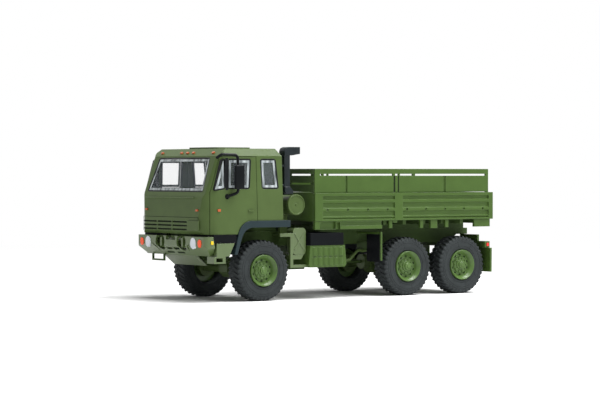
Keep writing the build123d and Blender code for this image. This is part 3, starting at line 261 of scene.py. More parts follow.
chassis_green = satin_paint(
    "chassis_green", (0.045, 0.078, 0.022), shade=0.18, roughness=0.50, gloss=0.1
)
paint_nodes(
    chassis_green,
    "frame_rails",
    "frame_crossmembers",
    "front_springs",
    "rear_springs",
    "propeller_shafts",
    "transfer_case",
    "engine",
    "bed_subframe",
)

# --------------------------------------------------------------------- tyres
# Soft vinyl tyres with deep staggered lugs that wrap on to the shoulders and
# fine moulded rings on the sidewalls. Each is one closed moulding, pushed on
# to its wheel's rim.


def placed(name, mesh, materials=(), smooth_angle=None):
    """Object at the origin that holds a mesh, linked to the scene."""
    for material in materials:
        mesh.materials.append(material)
    if smooth_angle is not None:
        mesh.shade_smooth()
        mesh.set_sharp_from_angle(angle=math.radians(smooth_angle))
    made = bpy.data.objects.new(name, mesh)
    bpy.context.scene.collection.objects.link(made)
    return made


def shape_object(name, points, faces, materials, smooth_angle=None):
    """Object made from points and faces."""
    mesh = bpy.data.meshes.new(name)
    mesh.from_pydata([tuple(p) for p in points], [], faces)
    return placed(name, mesh, materials, smooth_angle)


def ring_grid(rows, columns):
    """Quads of a grid that closes both along its rows and along its columns."""
    faces = []
    for row in range(rows):
        for column in range(columns):
            next_row, next_column = (row + 1) % rows, (column + 1) % columns
            faces.append(
                (
                    row * columns + column,
                    row * columns + next_column,
                    next_row * columns + next_column,
                    next_row * columns + column,
                )
            )
    return faces


vinyl = satin_paint(
    "tyre_vinyl",
    (0.030, 0.035, 0.036),
    shade=0.22,
    roughness=0.58,
    edge_radius=0.05 * mm,
    grain=0.6,
    gloss=0.1,
)
tyre_half_width = 2.68
tyre_lug_count = 38
lug_skew = 0.85  # lug pitches that a lug turns over the skew's reach
skew_reach = 2.7
half_profile = (  # offset from the tyre's middle, groove radius, lug rise out, lug rise sideways
    (1.90, 4.13, 0, 0),
    (2.30, 4.16, 0, 0),
    (2.50, 4.34, 0, 0),
    (2.58, 4.52, 0, 0),
    (2.60, 4.86, 0, 0),
    (2.52, 4.92, 0, 0),
    (2.52, 4.98, 0, 0),
    (2.62, 5.04, 0, 0),
    (2.66, 5.60, 0, 0),
    (2.66, 6.10, 0, 0),
    (2.57, 6.16, 0, 0),
    (2.57, 6.22, 0, 0),
    (2.67, 6.28, 0, 0),
    (2.64, 6.62, 0, 0),
    (2.55, 6.68, 0, 0),
    (2.54, 6.74, 0, 0),
    (2.60, 6.80, 0, 0),
    (2.53, 7.00, 0, 0),
    (2.47, 7.12, 0.02, 0.12),
    (2.38, 7.38, 0.14, 0.10),
    (2.22, 7.56, 0.24, 0.05),
    (1.60, 7.62, 0.28, 0),
    (0.62, 7.64, 0.26, 0),
    (0.34, 7.64, 0.26, 0),
    (0.20, 7.64, 0, 0),
)
lug_columns = (  # share of one lug pitch, lug present on the outer half, on the inner half
    (0.00, 0, 1),
    (0.07, 1, 0),
    (0.28, 1, 0),
    (0.50, 1, 0),
    (0.57, 0, 1),
    (0.78, 0, 1),
)
tyre_rows = [(x, r, out, side, True) for x, r, out, side in half_profile]
tyre_rows += [(-x, r, out, -side, False) for x, r, out, side in reversed(half_profile)]
tyre_points = []
for x, radius, rise, side_rise, outer_half in tyre_rows:
    for lug in range(tyre_lug_count):
        for share, outer_lug, inner_lug in lug_columns:
            present = outer_lug if outer_half else inner_lug
            turn = (lug + share + lug_skew * abs(x) / skew_reach) * math.tau / tyre_lug_count
            reach = radius + rise * present
            spot = (x + side_rise * present, reach * math.cos(turn), reach * math.sin(turn))
            tyre_points.append(Vector(spot) * mm)
tyre_faces = ring_grid(len(tyre_rows), tyre_lug_count * len(lug_columns))


def wheel_middles(axle):
    """Each side of an axle, +1 or -1, with the middle of its wheel."""
    low, high = (Vector(corner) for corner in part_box(f"{axle}_tyres"))
    centre = (low + high) / 2
    offset = (high.x - low.x) / 2 - tyre_half_width * mm
    return [(side, Vector((side * offset, centre.y, centre.z))) for side in (1, -1)]


def on_both_ends(axle, form_points, form_faces):
    """A form at both ends of an axle, mirrored so that its outer side faces out."""
    points = []
    faces = []
    for side, middle in wheel_middles(axle):
        start = len(points)
        points += [middle + Vector((side * p.x, p.y, p.z)) for p in form_points]
        faces += [tuple(start + i for i in face[::side]) for face in form_faces]
    return points, faces


axles = ("front", "middle", "rear")
for axle in axles:
    points, faces = on_both_ends(axle, tyre_points, tyre_faces)
    tyres = shape_object(f"{axle}_tyre_treads", points, faces, [vinyl], smooth_angle=38)
    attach(tyres, f"{axle}_wheelset")
    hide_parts(f"{axle}_tyres")

# -------------------------------------------------------------------- wheels
# Plastic disc wheels, moulded in one with their nuts and hub bolts and sprayed
# a slightly brighter olive. Each has a broad sloping rim round a dished disc,
# and is pressed on to a plain steel pin.
wheel_green = satin_paint(
    "wheel_green",
    (0.070, 0.130, 0.030),
    shade=0.20,
    roughness=0.30,
    edge_radius=0.05 * mm,
    grain=0.25,
    gloss=0.3,
)
steel = satin_paint(
    "steel_pin", (0.45, 0.45, 0.46), shade=0.10, roughness=0.30
)
steel.node_tree.nodes["Principled BSDF"].inputs["Metallic"].default_value = 1.0
# The dimples in each wheel's disc are flat dark discs: painted shade for their hollows.
dimple_painted_shade = satin_paint(
    "dimple_painted_shade",
    (0.012, 0.022, 0.008),
    shade=0.1,
    roughness=0.6,
    edge_radius=0.03 * mm,
    grain=0.2,
    gloss=0.05,
)
wheel_profile = (  # offset from the tyre's middle, radius
    (2.86, 0.0),
    (2.86, 0.42),
    (2.78, 0.50),
    (2.70, 0.52),
    (2.72, 0.86),
    (2.62, 0.98),
    (2.30, 1.02),
    (2.26, 1.36),
    (2.16, 1.46),
    (1.94, 1.50),
    (1.90, 2.20),
    (1.62, 2.36),
    (1.50, 2.62),
    (1.50, 2.84),
    (1.62, 2.98),
    (1.76, 3.04),
    (2.66, 3.62),
    (2.74, 3.74),
    (2.86, 3.80),
    (2.95, 3.90),
    (2.96, 4.00),
    (2.90, 4.08),
    (2.70, 4.10),
    (1.20, 4.02),
    (-0.20, 4.08),
    (-0.30, 4.02),
    (-0.30, 0.0),
)
wheel_facets = 56
merge_distance = 0.0004 * mm


def turned(profile, facets):
    """Points and faces of a shape turned about X, whose profile starts and ends on the axis."""
    points = [Vector((profile[0][0], 0, 0)) * mm]
    for x, radius in profile[1:-1]:
        for step in range(facets):
            angle = step * math.tau / facets
            points.append(Vector((x, radius * math.cos(angle), radius * math.sin(angle))) * mm)
    points.append(Vector((profile[-1][0], 0, 0)) * mm)
    last = len(points) - 1
    faces = [(0, 1 + (step + 1) % facets, 1 + step) for step in range(facets)]
    for row in range(len(profile) - 3):
        for step in range(facets):
            here, beyond = 1 + row * facets, 1 + (row + 1) * facets
            after = (step + 1) % facets
            faces.append((here + step, here + after, beyond + after, beyond + step))
    start = last - facets
    faces += [(last, start + step, start + (step + 1) % facets) for step in range(facets)]
    return points, faces


def outward(made):
    """Merges doubles and turns the faces of a closed shape outwards."""
    shell = bmesh.new()
    shell.from_mesh(made.data)
    bmesh.ops.remove_doubles(shell, verts=shell.verts, dist=merge_distance)
    bmesh.ops.recalc_face_normals(shell, faces=shell.faces)
    shell.to_mesh(made.data)
    shell.free()
    return made


def node_tree(name, sizes):
    """Empty Geometry Nodes tree with the named inputs given as (name, socket type)."""
    tree = bpy.data.node_groups.new(name, "GeometryNodeTree")
    tree.interface.new_socket(name="Geometry", in_out="INPUT", socket_type="NodeSocketGeometry")
    for label, kind in sizes:
        tree.interface.new_socket(name=label, in_out="INPUT", socket_type=kind)
    tree.interface.new_socket(name="Geometry", in_out="OUTPUT", socket_type="NodeSocketGeometry")
    return tree, tree.nodes.new("NodeGroupInput"), tree.nodes.new("NodeGroupOutput")


def head_tree():
    """Nut, bolt or rivet heads on points that each carry the direction they face."""
    tree, sizes, result = node_tree(
        "heads_on_points",
        (
            ("Head Radius", "NodeSocketFloat"),
            ("Crown Radius", "NodeSocketFloat"),
            ("Head Height", "NodeSocketFloat"),
            ("Sides", "NodeSocketInt"),
            ("Material", "NodeSocketMaterial"),
        ),
    )
    head = tree.nodes.new("GeometryNodeMeshCone")
    facing = tree.nodes.new("GeometryNodeInputNamedAttribute")
    facing.data_type = "FLOAT_VECTOR"
    facing.inputs["Name"].default_value = "facing"
    turn = tree.nodes.new("FunctionNodeAlignRotationToVector")
    turn.axis = "Z"
    place = tree.nodes.new("GeometryNodeInstanceOnPoints")
    real = tree.nodes.new("GeometryNodeRealizeInstances")
    finish = tree.nodes.new("GeometryNodeSetMaterial")
    wire(
        tree,
        (sizes.outputs["Sides"], head.inputs["Vertices"]),
        (sizes.outputs["Head Radius"], head.inputs["Radius Bottom"]),
        (sizes.outputs["Crown Radius"], head.inputs["Radius Top"]),
        (sizes.outputs["Head Height"], head.inputs["Depth"]),
        (sizes.outputs["Geometry"], place.inputs["Points"]),
        (head.outputs["Mesh"], place.inputs["Instance"]),
        (facing.outputs["Attribute"], turn.inputs["Vector"]),
        (turn.outputs["Rotation"], place.inputs["Rotation"]),
        (place.outputs["Instances"], real.inputs["Geometry"]),
        (real.outputs["Geometry"], finish.inputs["Geometry"]),
        (sizes.outputs["Material"], finish.inputs["Material"]),
        (finish.outputs["Geometry"], result.inputs["Geometry"]),
    )
    return tree


def grown(name, seed_mesh, tree, settings):
    """Plain mesh object that a tree makes from a seed mesh, its inputs given by name."""
    seed = bpy.data.objects.new(name + "_seed", seed_mesh)
    bpy.context.scene.collection.objects.link(seed)
    modifier = seed.modifiers.new("growth", "NODES")
    modifier.node_group = tree
    for socket in tree.interface.items_tree:
        if socket.in_out == "INPUT" and socket.name in settings:
            modifier[socket.identifier] = settings[socket.name]
    evaluated = seed.evaluated_get(bpy.context.evaluated_depsgraph_get())
    grown_mesh = bpy.data.meshes.new_from_object(evaluated)
    grown_mesh.name = name
    seed.modifiers.remove(modifier)
    bpy.data.objects.remove(seed)
    return placed(name, grown_mesh, smooth_angle=30)


heads = head_tree()


def fasteners(name, spots, radius, height, sides, material, crown=0.8):
    """Heads at each (place, facing) in millimetres, as one plain mesh."""
    seed_mesh = bpy.data.meshes.new(name + "_spots")
    seed_mesh.from_pydata([Vector(place) * mm for place, facing in spots], [], [])
    facing_of = seed_mesh.attributes.new("facing", "FLOAT_VECTOR", "POINT")
    for point, (place, facing) in zip(facing_of.data, spots):
        point.vector = facing
    return grown(
        name,
        seed_mesh,
        heads,
        {
            "Head Radius": radius * mm,
            "Crown Radius": radius * crown * mm,
            "Head Height": height * mm,
            "Sides": sides,
            "Material": material,
        },
    )


def on_circle(centre, side, offset, radius, angle):
    """Place on a circle about a wheel's axis, an offset out from its middle."""
    return (
        centre.x + side * offset,
        centre.y + radius * math.cos(angle),
        centre.z + radius * math.sin(angle),
    )


def bar_tree():
    """Boxes on points that each carry their own size and turn."""
    tree, sizes, result = node_tree("bars_on_points", (("Material", "NodeSocketMaterial"),))
    bar = tree.nodes.new("GeometryNodeMeshCube")
    size = tree.nodes.new("GeometryNodeInputNamedAttribute")
    size.data_type = "FLOAT_VECTOR"
    size.inputs["Name"].default_value = "bar_size"
    turn = tree.nodes.new("GeometryNodeInputNamedAttribute")
    turn.data_type = "FLOAT_VECTOR"
    turn.inputs["Name"].default_value = "bar_turn"
    angles = tree.nodes.new("FunctionNodeEulerToRotation")
    place = tree.nodes.new("GeometryNodeInstanceOnPoints")
    real = tree.nodes.new("GeometryNodeRealizeInstances")
    finish = tree.nodes.new("GeometryNodeSetMaterial")
    wire(
        tree,
        (sizes.outputs["Geometry"], place.inputs["Points"]),
        (bar.outputs["Mesh"], place.inputs["Instance"]),
        (size.outputs["Attribute"], place.inputs["Scale"]),
        (turn.outputs["Attribute"], angles.inputs[0]),
        (angles.outputs[0], place.inputs["Rotation"]),
        (place.outputs["Instances"], real.inputs["Geometry"]),
        (real.outputs["Geometry"], finish.inputs["Geometry"]),
        (sizes.outputs["Material"], finish.inputs["Material"]),
        (finish.outputs["Geometry"], result.inputs["Geometry"]),
    )
    return tree


bars_on_points = bar_tree()


def bars(name, boxes, material):
    """Boxes given as (middle, size, turn about X) in millimetres and radians, as one plain mesh."""
    seed_mesh = bpy.data.meshes.new(name + "_spots")
    seed_mesh.from_pydata([Vector(middle) * mm for middle, size, turn in boxes], [], [])
    size_of = seed_mesh.attributes.new("bar_size", "FLOAT_VECTOR", "POINT")
    turn_of = seed_mesh.attributes.new("bar_turn", "FLOAT_VECTOR", "POINT")
    for size_point, turn_point, (middle, size, turn) in zip(size_of.data, turn_of.data, boxes):
        size_point.vector = Vector(size) * mm
        turn_point.vector = (turn, 0, 0)
    return grown(name, seed_mesh, bars_on_points, {"Material": material})


disc_points, disc_faces = turned(wheel_profile, wheel_facets)
wheel_fittings = (
    # piece, offset, circle radius, count, first angle, head radius, height, sides, crown, finish
    ("wheel_nuts", 1.86, 1.86, 10, 0.0, 0.26, 0.34, 6, 0.8, wheel_green),
    ("hub_bolts", 2.24, 1.19, 8, 0.2, 0.12, 0.16, 6, 0.8, wheel_green),
    ("disc_dimples", 1.46, 2.72, 10, 0.31, 0.30, 0.10, 16, 1.0, dimple_painted_shade),
)
mark_count = 8
first_mark = 0.3  # share of the step from one mark to the next
mark_offset = 2.66
mark_width = 0.10
mark_rings = ((5.6, 1.0), (6.45, 0.3))  # radius, length
for axle in axles:
    points, faces = on_both_ends(axle, disc_points, disc_faces)
    discs = outward(
        shape_object(f"{axle}_wheel_discs", points, faces, [wheel_green], smooth_angle=30)
    )
    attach(discs, f"{axle}_wheelset")
    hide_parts(f"{axle}_wheels")
    hubs = [(side, middle / mm) for side, middle in wheel_middles(axle)]
    for piece, offset, circle, count, first, radius, height, sides, crown, finish in wheel_fittings:
        spots = [
            (on_circle(hub, side, offset, circle, first + step * math.tau / count), (side, 0, 0))
            for side, hub in hubs
            for step in range(count)
        ]
        made = fasteners(f"{axle}_{piece}", spots, radius, height, sides, finish, crown)
        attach(made, f"{axle}_wheelset")
    sidewall_marks = []
    for side, hub in hubs:
        for step in range(mark_count):
            angle = (step + first_mark) * math.tau / mark_count
            for radius, length in mark_rings:
                spot = on_circle(hub, side, mark_offset, radius, angle)
                sidewall_marks.append((spot, (mark_width, length, mark_width), angle))
    marks = bars(f"{axle}_sidewall_marks", sidewall_marks, vinyl)
    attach(marks, f"{axle}_wheelset")
    paint_nodes(steel, f"{axle}_axle_pin")

# ----------------------------------------------------------------- cab body
# The cab shell, its doors and the roof hatch are thin plastic mouldings, glued edge to edge and
# sprayed satin olive green. The bumper, the steps and the fuel can carry a slightly paler and
# glossier coat. The skid plate is paler still: a painted reflection of the white table beneath it.
cab_green = satin_paint(
    "cab_green", (0.063, 0.098, 0.030), shade=0.10, roughness=0.33, gloss=0.12
)
paint_nodes(
    cab_green,
    "cab_shell",
    "doors",
    "roof_hatch",
    "air_cleaner",
    "number_plate",
    # The axle housings take the cab's paler green, not the chassis green: painted light, so that
    # they read lit under the truck.
    "axle_housings",
)
front_green = satin_paint(
    "front_green", (0.070, 0.108, 0.034), shade=0.10, roughness=0.30, gloss=0.60
)
paint_nodes(front_green, "front_bumper", "cab_steps", "can_carrier", "fuel_can")
# The skid plate's pale green is a painted reflection of the table below.
skid_painted_reflection = satin_paint(
    "skid_painted_reflection", (0.100, 0.132, 0.066), shade=0.10, roughness=0.30, gloss=0.60
)
paint_nodes(skid_painted_reflection, "skid_plate")
paint_nodes(chassis_green, "front_step_loop")

# ----------------------------------------------------- front slots and seams
# The intake slots in the cab's front and the two in the bumper's slope hold thin dark plates,
# painted shade for their hollows. A fine seam moulded into the front runs round the panel that the
# slots are cut in, and holds the same dark paint.
slot_dark = satin_paint(
    "slot_dark",
    (0.010, 0.016, 0.007),
    shade=0.1,
    roughness=0.6,
    edge_radius=0.03 * mm,
    grain=0.2,
    gloss=0.05,
)
nose_y = (Vector(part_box("cab_shell")[0]) / mm).y
slot_rows = (18.6, 19.6, 20.55)
slot_spans = ((-14.0, -7.2), (-6.8, 0.1), (0.5, 7.5))
slot_depth = 0.33
slot_shade_gap = 0.04
slot_shade_thickness = 0.12
slot_shade_height = 0.38
# The slot plates are painted shade; the seam lines added below are dark joints.
slot_bars = [
    (
        ((low_x + high_x) / 2, nose_y + slot_depth, slot_z),
        (high_x - low_x - slot_shade_gap, slot_shade_thickness, slot_shade_height),
        0,
    )
    for low_x, high_x in slot_spans
    for slot_z in slot_rows
]
line_thickness = 0.05
seam_rise = 0.005
seam_width = 0.11
seam_lines = (  # middle across, middle height, width, height
    (-0.4, 21.75, 26.6, seam_width),
    (-13.7, 19.9, seam_width, 3.7),
    (12.9, 21.5, seam_width, 0.5),
)
slot_bars += [
    ((seam_x, nose_y - seam_rise, seam_z), (width, line_thickness, height), 0)
    for seam_x, seam_z, width, height in seam_lines
]
slope_depth, slope_height = 2.5, 2.6
bumper_slope = math.atan2(slope_depth, slope_height)
bumper_slot_x, bumper_slot_y, bumper_slot_z = 2.5, -45.41, 12.55
bumper_slot_width, bumper_slot_height = 3.4, 0.55
slot_bars += [
    (
        (side * bumper_slot_x, bumper_slot_y, bumper_slot_z),
        (bumper_slot_width, line_thickness, bumper_slot_height),
        bumper_slope,
    )
    for side in (-1, 1)
]
slot_shades_and_seams = bars("slot_shades_and_seams", slot_bars, slot_dark)
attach(slot_shades_and_seams, "chassis")

# ------------------------------------------------------- glass and its seals
# The panes are one clear moulding, pressed into thin black surrounds from inside. Its bevelled
# edges carry a band of streaky grey and white paint: a painted highlight for the light they catch.
# The pane in the cab's back wall is smoked.
glass, tree, shader = new_material("clear_glazing")
shader.inputs["Base Color"].default_value = (0.66, 0.76, 0.82, 1)
shader.inputs["Alpha"].default_value = 0.045
place = tree.nodes.new("ShaderNodeTexCoord")
smears = tree.nodes.new("ShaderNodeTexNoise")
smears.inputs["Scale"].default_value = 260
smears.inputs["Detail"].default_value = 2
haze = tree.nodes.new("ShaderNodeMapRange")
haze.inputs["To Min"].default_value = 0.03
haze.inputs["To Max"].default_value = 0.10
wire(
    tree,
    (place.outputs["Object"], smears.inputs["Vector"]),
    (smears.outputs["Fac"], haze.inputs["Value"]),
    (haze.outputs["Result"], shader.inputs["Roughness"]),
)
smoked, tree, shader = new_material("smoked_glazing")
shader.inputs["Base Color"].default_value = (0.040, 0.046, 0.042, 1)
shader.inputs["Roughness"].default_value = 0.12
# The edge band's grey-white streaks are a painted highlight, not a coloured part.
painted_edge_glint, tree, shader = new_material("glazing_painted_glint")
shader.inputs["Roughness"].default_value = 0.15
shader.inputs["Specular IOR Level"].default_value = 0.6
place = tree.nodes.new("ShaderNodeTexCoord")
stretch = tree.nodes.new("ShaderNodeMapping")
stretch.inputs["Scale"].default_value = (1, 1, 0.22)
streaks = tree.nodes.new("ShaderNodeTexNoise")
streaks.inputs["Scale"].default_value = 900
streaks.inputs["Detail"].default_value = 3
tone = tree.nodes.new("ShaderNodeValToRGB")
tone.color_ramp.elements[0].position = 0.34
tone.color_ramp.elements[0].color = (0.07, 0.085, 0.09, 1)
tone.color_ramp.elements[1].position = 0.68
tone.color_ramp.elements[1].color = (0.46, 0.51, 0.52, 1)
wire(
    tree,
    (place.outputs["Object"], stretch.inputs["Vector"]),
    (stretch.outputs["Vector"], streaks.inputs["Vector"]),
    (streaks.outputs["Fac"], tone.inputs["Fac"]),
    (tone.outputs["Color"], shader.inputs["Base Color"]),
)


def joined_copy(node):
    """A solid's faces as one joined shell whose flat sides are whole again."""
    source = nodes[node].data
    loose = bpy.data.meshes.new(node + "_loose")
    corners = [corner.co for corner in source.vertices]
    loose.from_pydata(corners, [], [face.vertices for face in source.polygons])
    shell = bmesh.new()
    shell.from_mesh(loose)
    bpy.data.meshes.remove(loose)
    bmesh.ops.remove_doubles(shell, verts=shell.verts, dist=merge_distance)
    bmesh.ops.dissolve_limit(
        shell, angle_limit=math.radians(1), verts=shell.verts, edges=shell.edges
    )
    return shell


def finished(name, shell, materials, smooth_angle=None):
    """Object made from a worked shell."""
    mesh = bpy.data.meshes.new(name)
    shell.to_mesh(mesh)
    shell.free()
    return placed(name, mesh, materials, smooth_angle)


pane_edge = 0.62 * mm
corner_cut = 0.38 * mm
rear_pane_depth = 1.4 * mm
least_pane_area = 9 * mm * mm
cab_rear_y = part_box("cab_shell")[1][1]


def looks_out(face):
    """Whether a clear face looks out through the windscreen or a side window."""
    middle = face.calc_center_median()
    return (
        face.material_index == 0
        and face.calc_area() > least_pane_area
        and (face.normal.x * middle.x > 0.5 * abs(middle.x) or face.normal.y < -0.5)
    )


shell = joined_copy("cab_glass")
cut_edges = [edge for edge in shell.edges if edge.calc_length() < corner_cut]
bmesh.ops.collapse(shell, edges=cut_edges)
for face in shell.faces:
    at_back = face.calc_center_median().y > cab_rear_y - rear_pane_depth
    face.material_index = 2 if at_back else 0
outer_faces = [face for face in shell.faces if looks_out(face)]
bands = bmesh.ops.inset_individual(
    shell, faces=outer_faces, thickness=pane_edge, use_even_offset=True
)
for face in bands["faces"]:
    face.material_index = 1
panes = finished("cab_panes", shell, (glass, painted_edge_glint, smoked))
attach(panes, "chassis")
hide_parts("cab_glass")
seal_black = satin_paint(
    "seal_black", (0.006, 0.007, 0.008), shade=0.1, roughness=0.35, gloss=0.15
)
paint_nodes(seal_black, "window_seals")

# ------------------------------------------------------------- door pillars
# The slim pillar between the two panes of each door is moulded with the door.
# It is painted black, like the seals on either side of it.
pillar_front, pillar_rear = -41.05, -40.28
pillar_low, pillar_high = 28.75, 36.95
handle_rise = 0.25
door_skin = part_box("doors")[1][0] / mm - handle_rise
pillar_outline = (
    (pillar_front, pillar_low),
    (pillar_rear, pillar_low),
    (pillar_rear, pillar_high),
    (pillar_front, pillar_high),
)
paint_inside, paint_outside = -0.05, 0.04
box_faces = (
    (0, 1, 2, 3),
    (4, 5, 6, 7),
    (0, 1, 5, 4),
    (1, 2, 6, 5),
    (2, 3, 7, 6),
    (3, 0, 4, 7),
)
points = []
faces = []
for side in (1, -1):
    start = len(points)
    points += [
        Vector((side * (door_skin + reach), y, z)) * mm
        for reach in (paint_inside, paint_outside)
        for y, z in pillar_outline
    ]
    faces += [tuple(start + i for i in face) for face in box_faces]
pillars = outward(shape_object("door_pillar_paint", points, faces, [seal_black]))
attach(pillars, "chassis")

# ---------------------------------------------------------------- interior
# Floor, seats, dashboard and steering wheel are plain plastic mouldings glued
# inside the cab. They are painted dark grey and left matt.
interior_grey = satin_paint(
    "interior_grey", (0.022, 0.026, 0.026), shade=0.1, roughness=0.6, gloss=0.1
)
paint_nodes(interior_grey, "cab_floor", "seats", "dashboard", "steering_wheel")

# ------------------------------------------------- dark plastic outer pieces
# The mudguards, intake stack, battery box and mudflaps are glued on as bare blue-black plastic. The
# stack's edges are well rounded. The sill panels under the cab take the same black as painted shade
# for the dark gap there.
arch_grey = satin_paint(
    "arch_grey",
    (0.016, 0.028, 0.032),
    shade=0.15,
    roughness=0.38,
    edge_radius=0.2 * mm,
    gloss=0.13,
)
paint_nodes(arch_grey, "wheel_arches")
stack_grey = satin_paint(
    "stack_grey",
    (0.010, 0.015, 0.017),
    shade=0.3,
    roughness=0.34,
    edge_radius=0.2 * mm,
    grain=1.0,
    gloss=0.16,
)


def softened(name, node, corner, material, shift=(0, 0, 0)):
    """Copy of a solid with its edges rounded, to take the solid's place."""
    shell = joined_copy(node)
    sharp = [
        edge
        for edge in shell.edges
        if edge.is_manifold and edge.calc_face_angle(0) > math.radians(25)
    ]
    bmesh.ops.bevel(
        shell,
        geom=sharp,
        offset=corner * mm,
        segments=3,
        profile=0.5,
        affect="EDGES",
        clamp_overlap=True,
    )
    bmesh.ops.translate(shell, verts=shell.verts, vec=Vector(shift) * mm)
    bmesh.ops.recalc_face_normals(shell, faces=shell.faces)
    return finished(name, shell, (material,), smooth_angle=35)


stack = softened(
    "intake_stack_moulding", "intake_stack", corner=0.3, material=stack_grey, shift=(0, 0.12, 0)
)
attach(stack, "chassis")
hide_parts("intake_stack")
matt_black = satin_paint(
    "matt_black", (0.005, 0.006, 0.007), shade=0.15, roughness=0.55, gloss=0.05
)
# The black on the cab's sill panels is painted shade for the gap under the cab.
paint_nodes(matt_black, "battery_box", "cab_sill_panels", "mudflaps")

# ------------------------------------------------------------------ mirrors
# Each mirror's head sits on a bent tube, which is glued into the corner of
# the roof at its top and into a ball foot on the door at its bottom. Tube,
# head and foot are moulded in dark plastic.


def tube_tree():
    """Round tubes along the seed's edges, with their corners bent to a radius."""
    tree, sizes, result = node_tree(
        "tubes_on_paths",
        (
            ("Tube Radius", "NodeSocketFloat"),
            ("Bend Radius", "NodeSocketFloat"),
            ("Sides", "NodeSocketInt"),
            ("Material", "NodeSocketMaterial"),
        ),
    )
    path = tree.nodes.new("GeometryNodeMeshToCurve")
    bend = tree.nodes.new("GeometryNodeFilletCurve")
    bend.mode = "POLY"
    bend.inputs["Count"].default_value = 6
    bend.inputs["Limit Radius"].default_value = True
    section = tree.nodes.new("GeometryNodeCurvePrimitiveCircle")
    sweep = tree.nodes.new("GeometryNodeCurveToMesh")
    sweep.inputs["Fill Caps"].default_value = True
    real = tree.nodes.new("GeometryNodeRealizeInstances")
    finish = tree.nodes.new("GeometryNodeSetMaterial")
    wire(
        tree,
        (sizes.outputs["Geometry"], path.inputs["Mesh"]),
        (path.outputs["Curve"], bend.inputs["Curve"]),
        (sizes.outputs["Bend Radius"], bend.inputs["Radius"]),
        (sizes.outputs["Sides"], section.inputs["Resolution"]),
        (sizes.outputs["Tube Radius"], section.inputs["Radius"]),
        (bend.outputs["Curve"], sweep.inputs["Curve"]),
        (section.outputs["Curve"], sweep.inputs["Profile Curve"]),
        (sweep.outputs["Mesh"], real.inputs["Geometry"]),
        (real.outputs["Geometry"], finish.inputs["Geometry"]),
        (sizes.outputs["Material"], finish.inputs["Material"]),
        (finish.outputs["Geometry"], result.inputs["Geometry"]),
    )
    return tree


tubing = tube_tree()


def tubes(name, paths, radius, bend, material, sides=12):
    """Bent tubes along lists of points in millimetres, as one plain mesh."""
    seed_mesh = bpy.data.meshes.new(name + "_paths")
    points = []
    edges = []
    for path in paths:
        edges += [(len(points) + step, len(points) + step + 1) for step in range(len(path) - 1)]
        points += [Vector(point) * mm for point in path]
    seed_mesh.from_pydata(points, edges, [])
    settings = {
        "Tube Radius": radius * mm,
        "Bend Radius": bend * mm,
        "Sides": sides,
        "Material": material,
    }
    return outward(grown(name, seed_mesh, tubing, settings))


def rounded_block(name, blocks, corner, material):
    """Boxes in millimetres with rounded edges, as one mesh."""
    shell = bmesh.new()
    for low, high in blocks:
        low, high = Vector(low) * mm, Vector(high) * mm
        size = high - low
        place = Matrix.Translation((low + high) / 2) @ Matrix.Diagonal((*size, 1))
        bmesh.ops.create_cube(shell, size=1, matrix=place)
    bmesh.ops.bevel(
        shell,
        geom=list(shell.edges),
        offset=corner * mm,
        segments=4,
        profile=0.5,
        affect="EDGES",
        clamp_overlap=True,
    )
    bmesh.ops.recalc_face_normals(shell, faces=shell.faces)
    return finished(name, shell, (material,), smooth_angle=35)


mirror_black = satin_paint(
    "mirror_black",
    (0.003, 0.004, 0.005),
    shade=0.15,
    roughness=0.30,
    edge_radius=0.05 * mm,
    grain=0.2,
    gloss=0.1,
)
arm_x = door_skin + 1.6
foot_sink = 0.05
ball_sink = 0.02
roof_foot_z, shoulder_z, upright_top_z = 36.9, 37.85, 37.75
upright_foot_z, ball_y, ball_z = 28.1, -40.5, 27.1
shoulder_inset = 0.7
foot_lead, shoulder_lag, upright_rake = 0.4, 0.5, 0.15
head_inner_x, head_outer_x = arm_x - 0.2, arm_x + 0.75
head_ahead, head_behind = 1.5, 1.4
head_low_z, head_high_z = 29.0, 35.2
mirror_sides = (  # side, front foot of the arm, upright's place along the cab, middle of the head
    (1, -43.4, -38.35, -37.95),
    (-1, -40.9, -40.2, -39.8),
)
arm_paths = []
head_blocks = []
ball_spots = []
for side, foot_y, upright_y, head_y in mirror_sides:
    arm_paths.append(
        (
            (side * (door_skin - foot_sink), foot_y - foot_lead, roof_foot_z),
            (side * (arm_x - shoulder_inset), foot_y + shoulder_lag, shoulder_z),
            (side * arm_x, upright_y, upright_top_z),
            (side * arm_x, upright_y + upright_rake, upright_foot_z),
            (side * (door_skin - foot_sink), ball_y, ball_z),
        )
    )
    low_x, high_x = sorted((side * head_inner_x, side * head_outer_x))
    head_blocks.append(
        (
            (low_x, head_y - head_ahead, head_low_z),
            (high_x, head_y + head_behind, head_high_z),
        )
    )
    ball_spots.append(((side * (door_skin - ball_sink), ball_y, ball_z), (side, 0, 0)))
arms = tubes("mirror_arms", arm_paths, radius=0.37, bend=1.1, material=mirror_black)
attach(arms, "chassis")
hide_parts("mirrors")
mirror_heads = rounded_block("mirror_heads", head_blocks, corner=0.42, material=mirror_black)
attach(mirror_heads, "chassis")
ball_feet = fasteners(
    "mirror_feet",
    ball_spots,
    radius=0.72,
    height=0.6,
    sides=18,
    material=mirror_black,
    crown=0.55,
)
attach(ball_feet, "chassis")

# --------------------------------------------------------------- front bead
# A thin raised bead crosses the cab's front under the windscreen. It is
# moulded with the cab shell, half sunk in it, and painted with it.
bead_y = nose_y + 0.06
bead_z = 26.75
bead_path = ((-13.0, bead_y, bead_z), (10.5, bead_y, bead_z))
front_bead = tubes("front_bead", [bead_path], radius=0.16, bend=0.1, material=cab_green)
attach(front_bead, "chassis")

# ---------------------------------------------------------------- tail pipe
# The exhaust's tail pipe is a bent plastic rod, glued to the transfer case at
# one end and to the left frame rail at the other, and painted green.
pipe_path = (
    (4.6, -7.4, 9.6),
    (8.0, -1.0, 9.4),
    (8.2, 4.4, 9.8),
    (8.2, 7.2, 12.3),
    (8.2, 9.6, 12.1),
    (8.2, 11.6, 13.4),
    (5.7, 12.4, 14.6),
)
tail_pipe = tubes("tail_pipe", [pipe_path], radius=0.45, bend=0.9, material=cab_green)
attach(tail_pipe, "chassis")

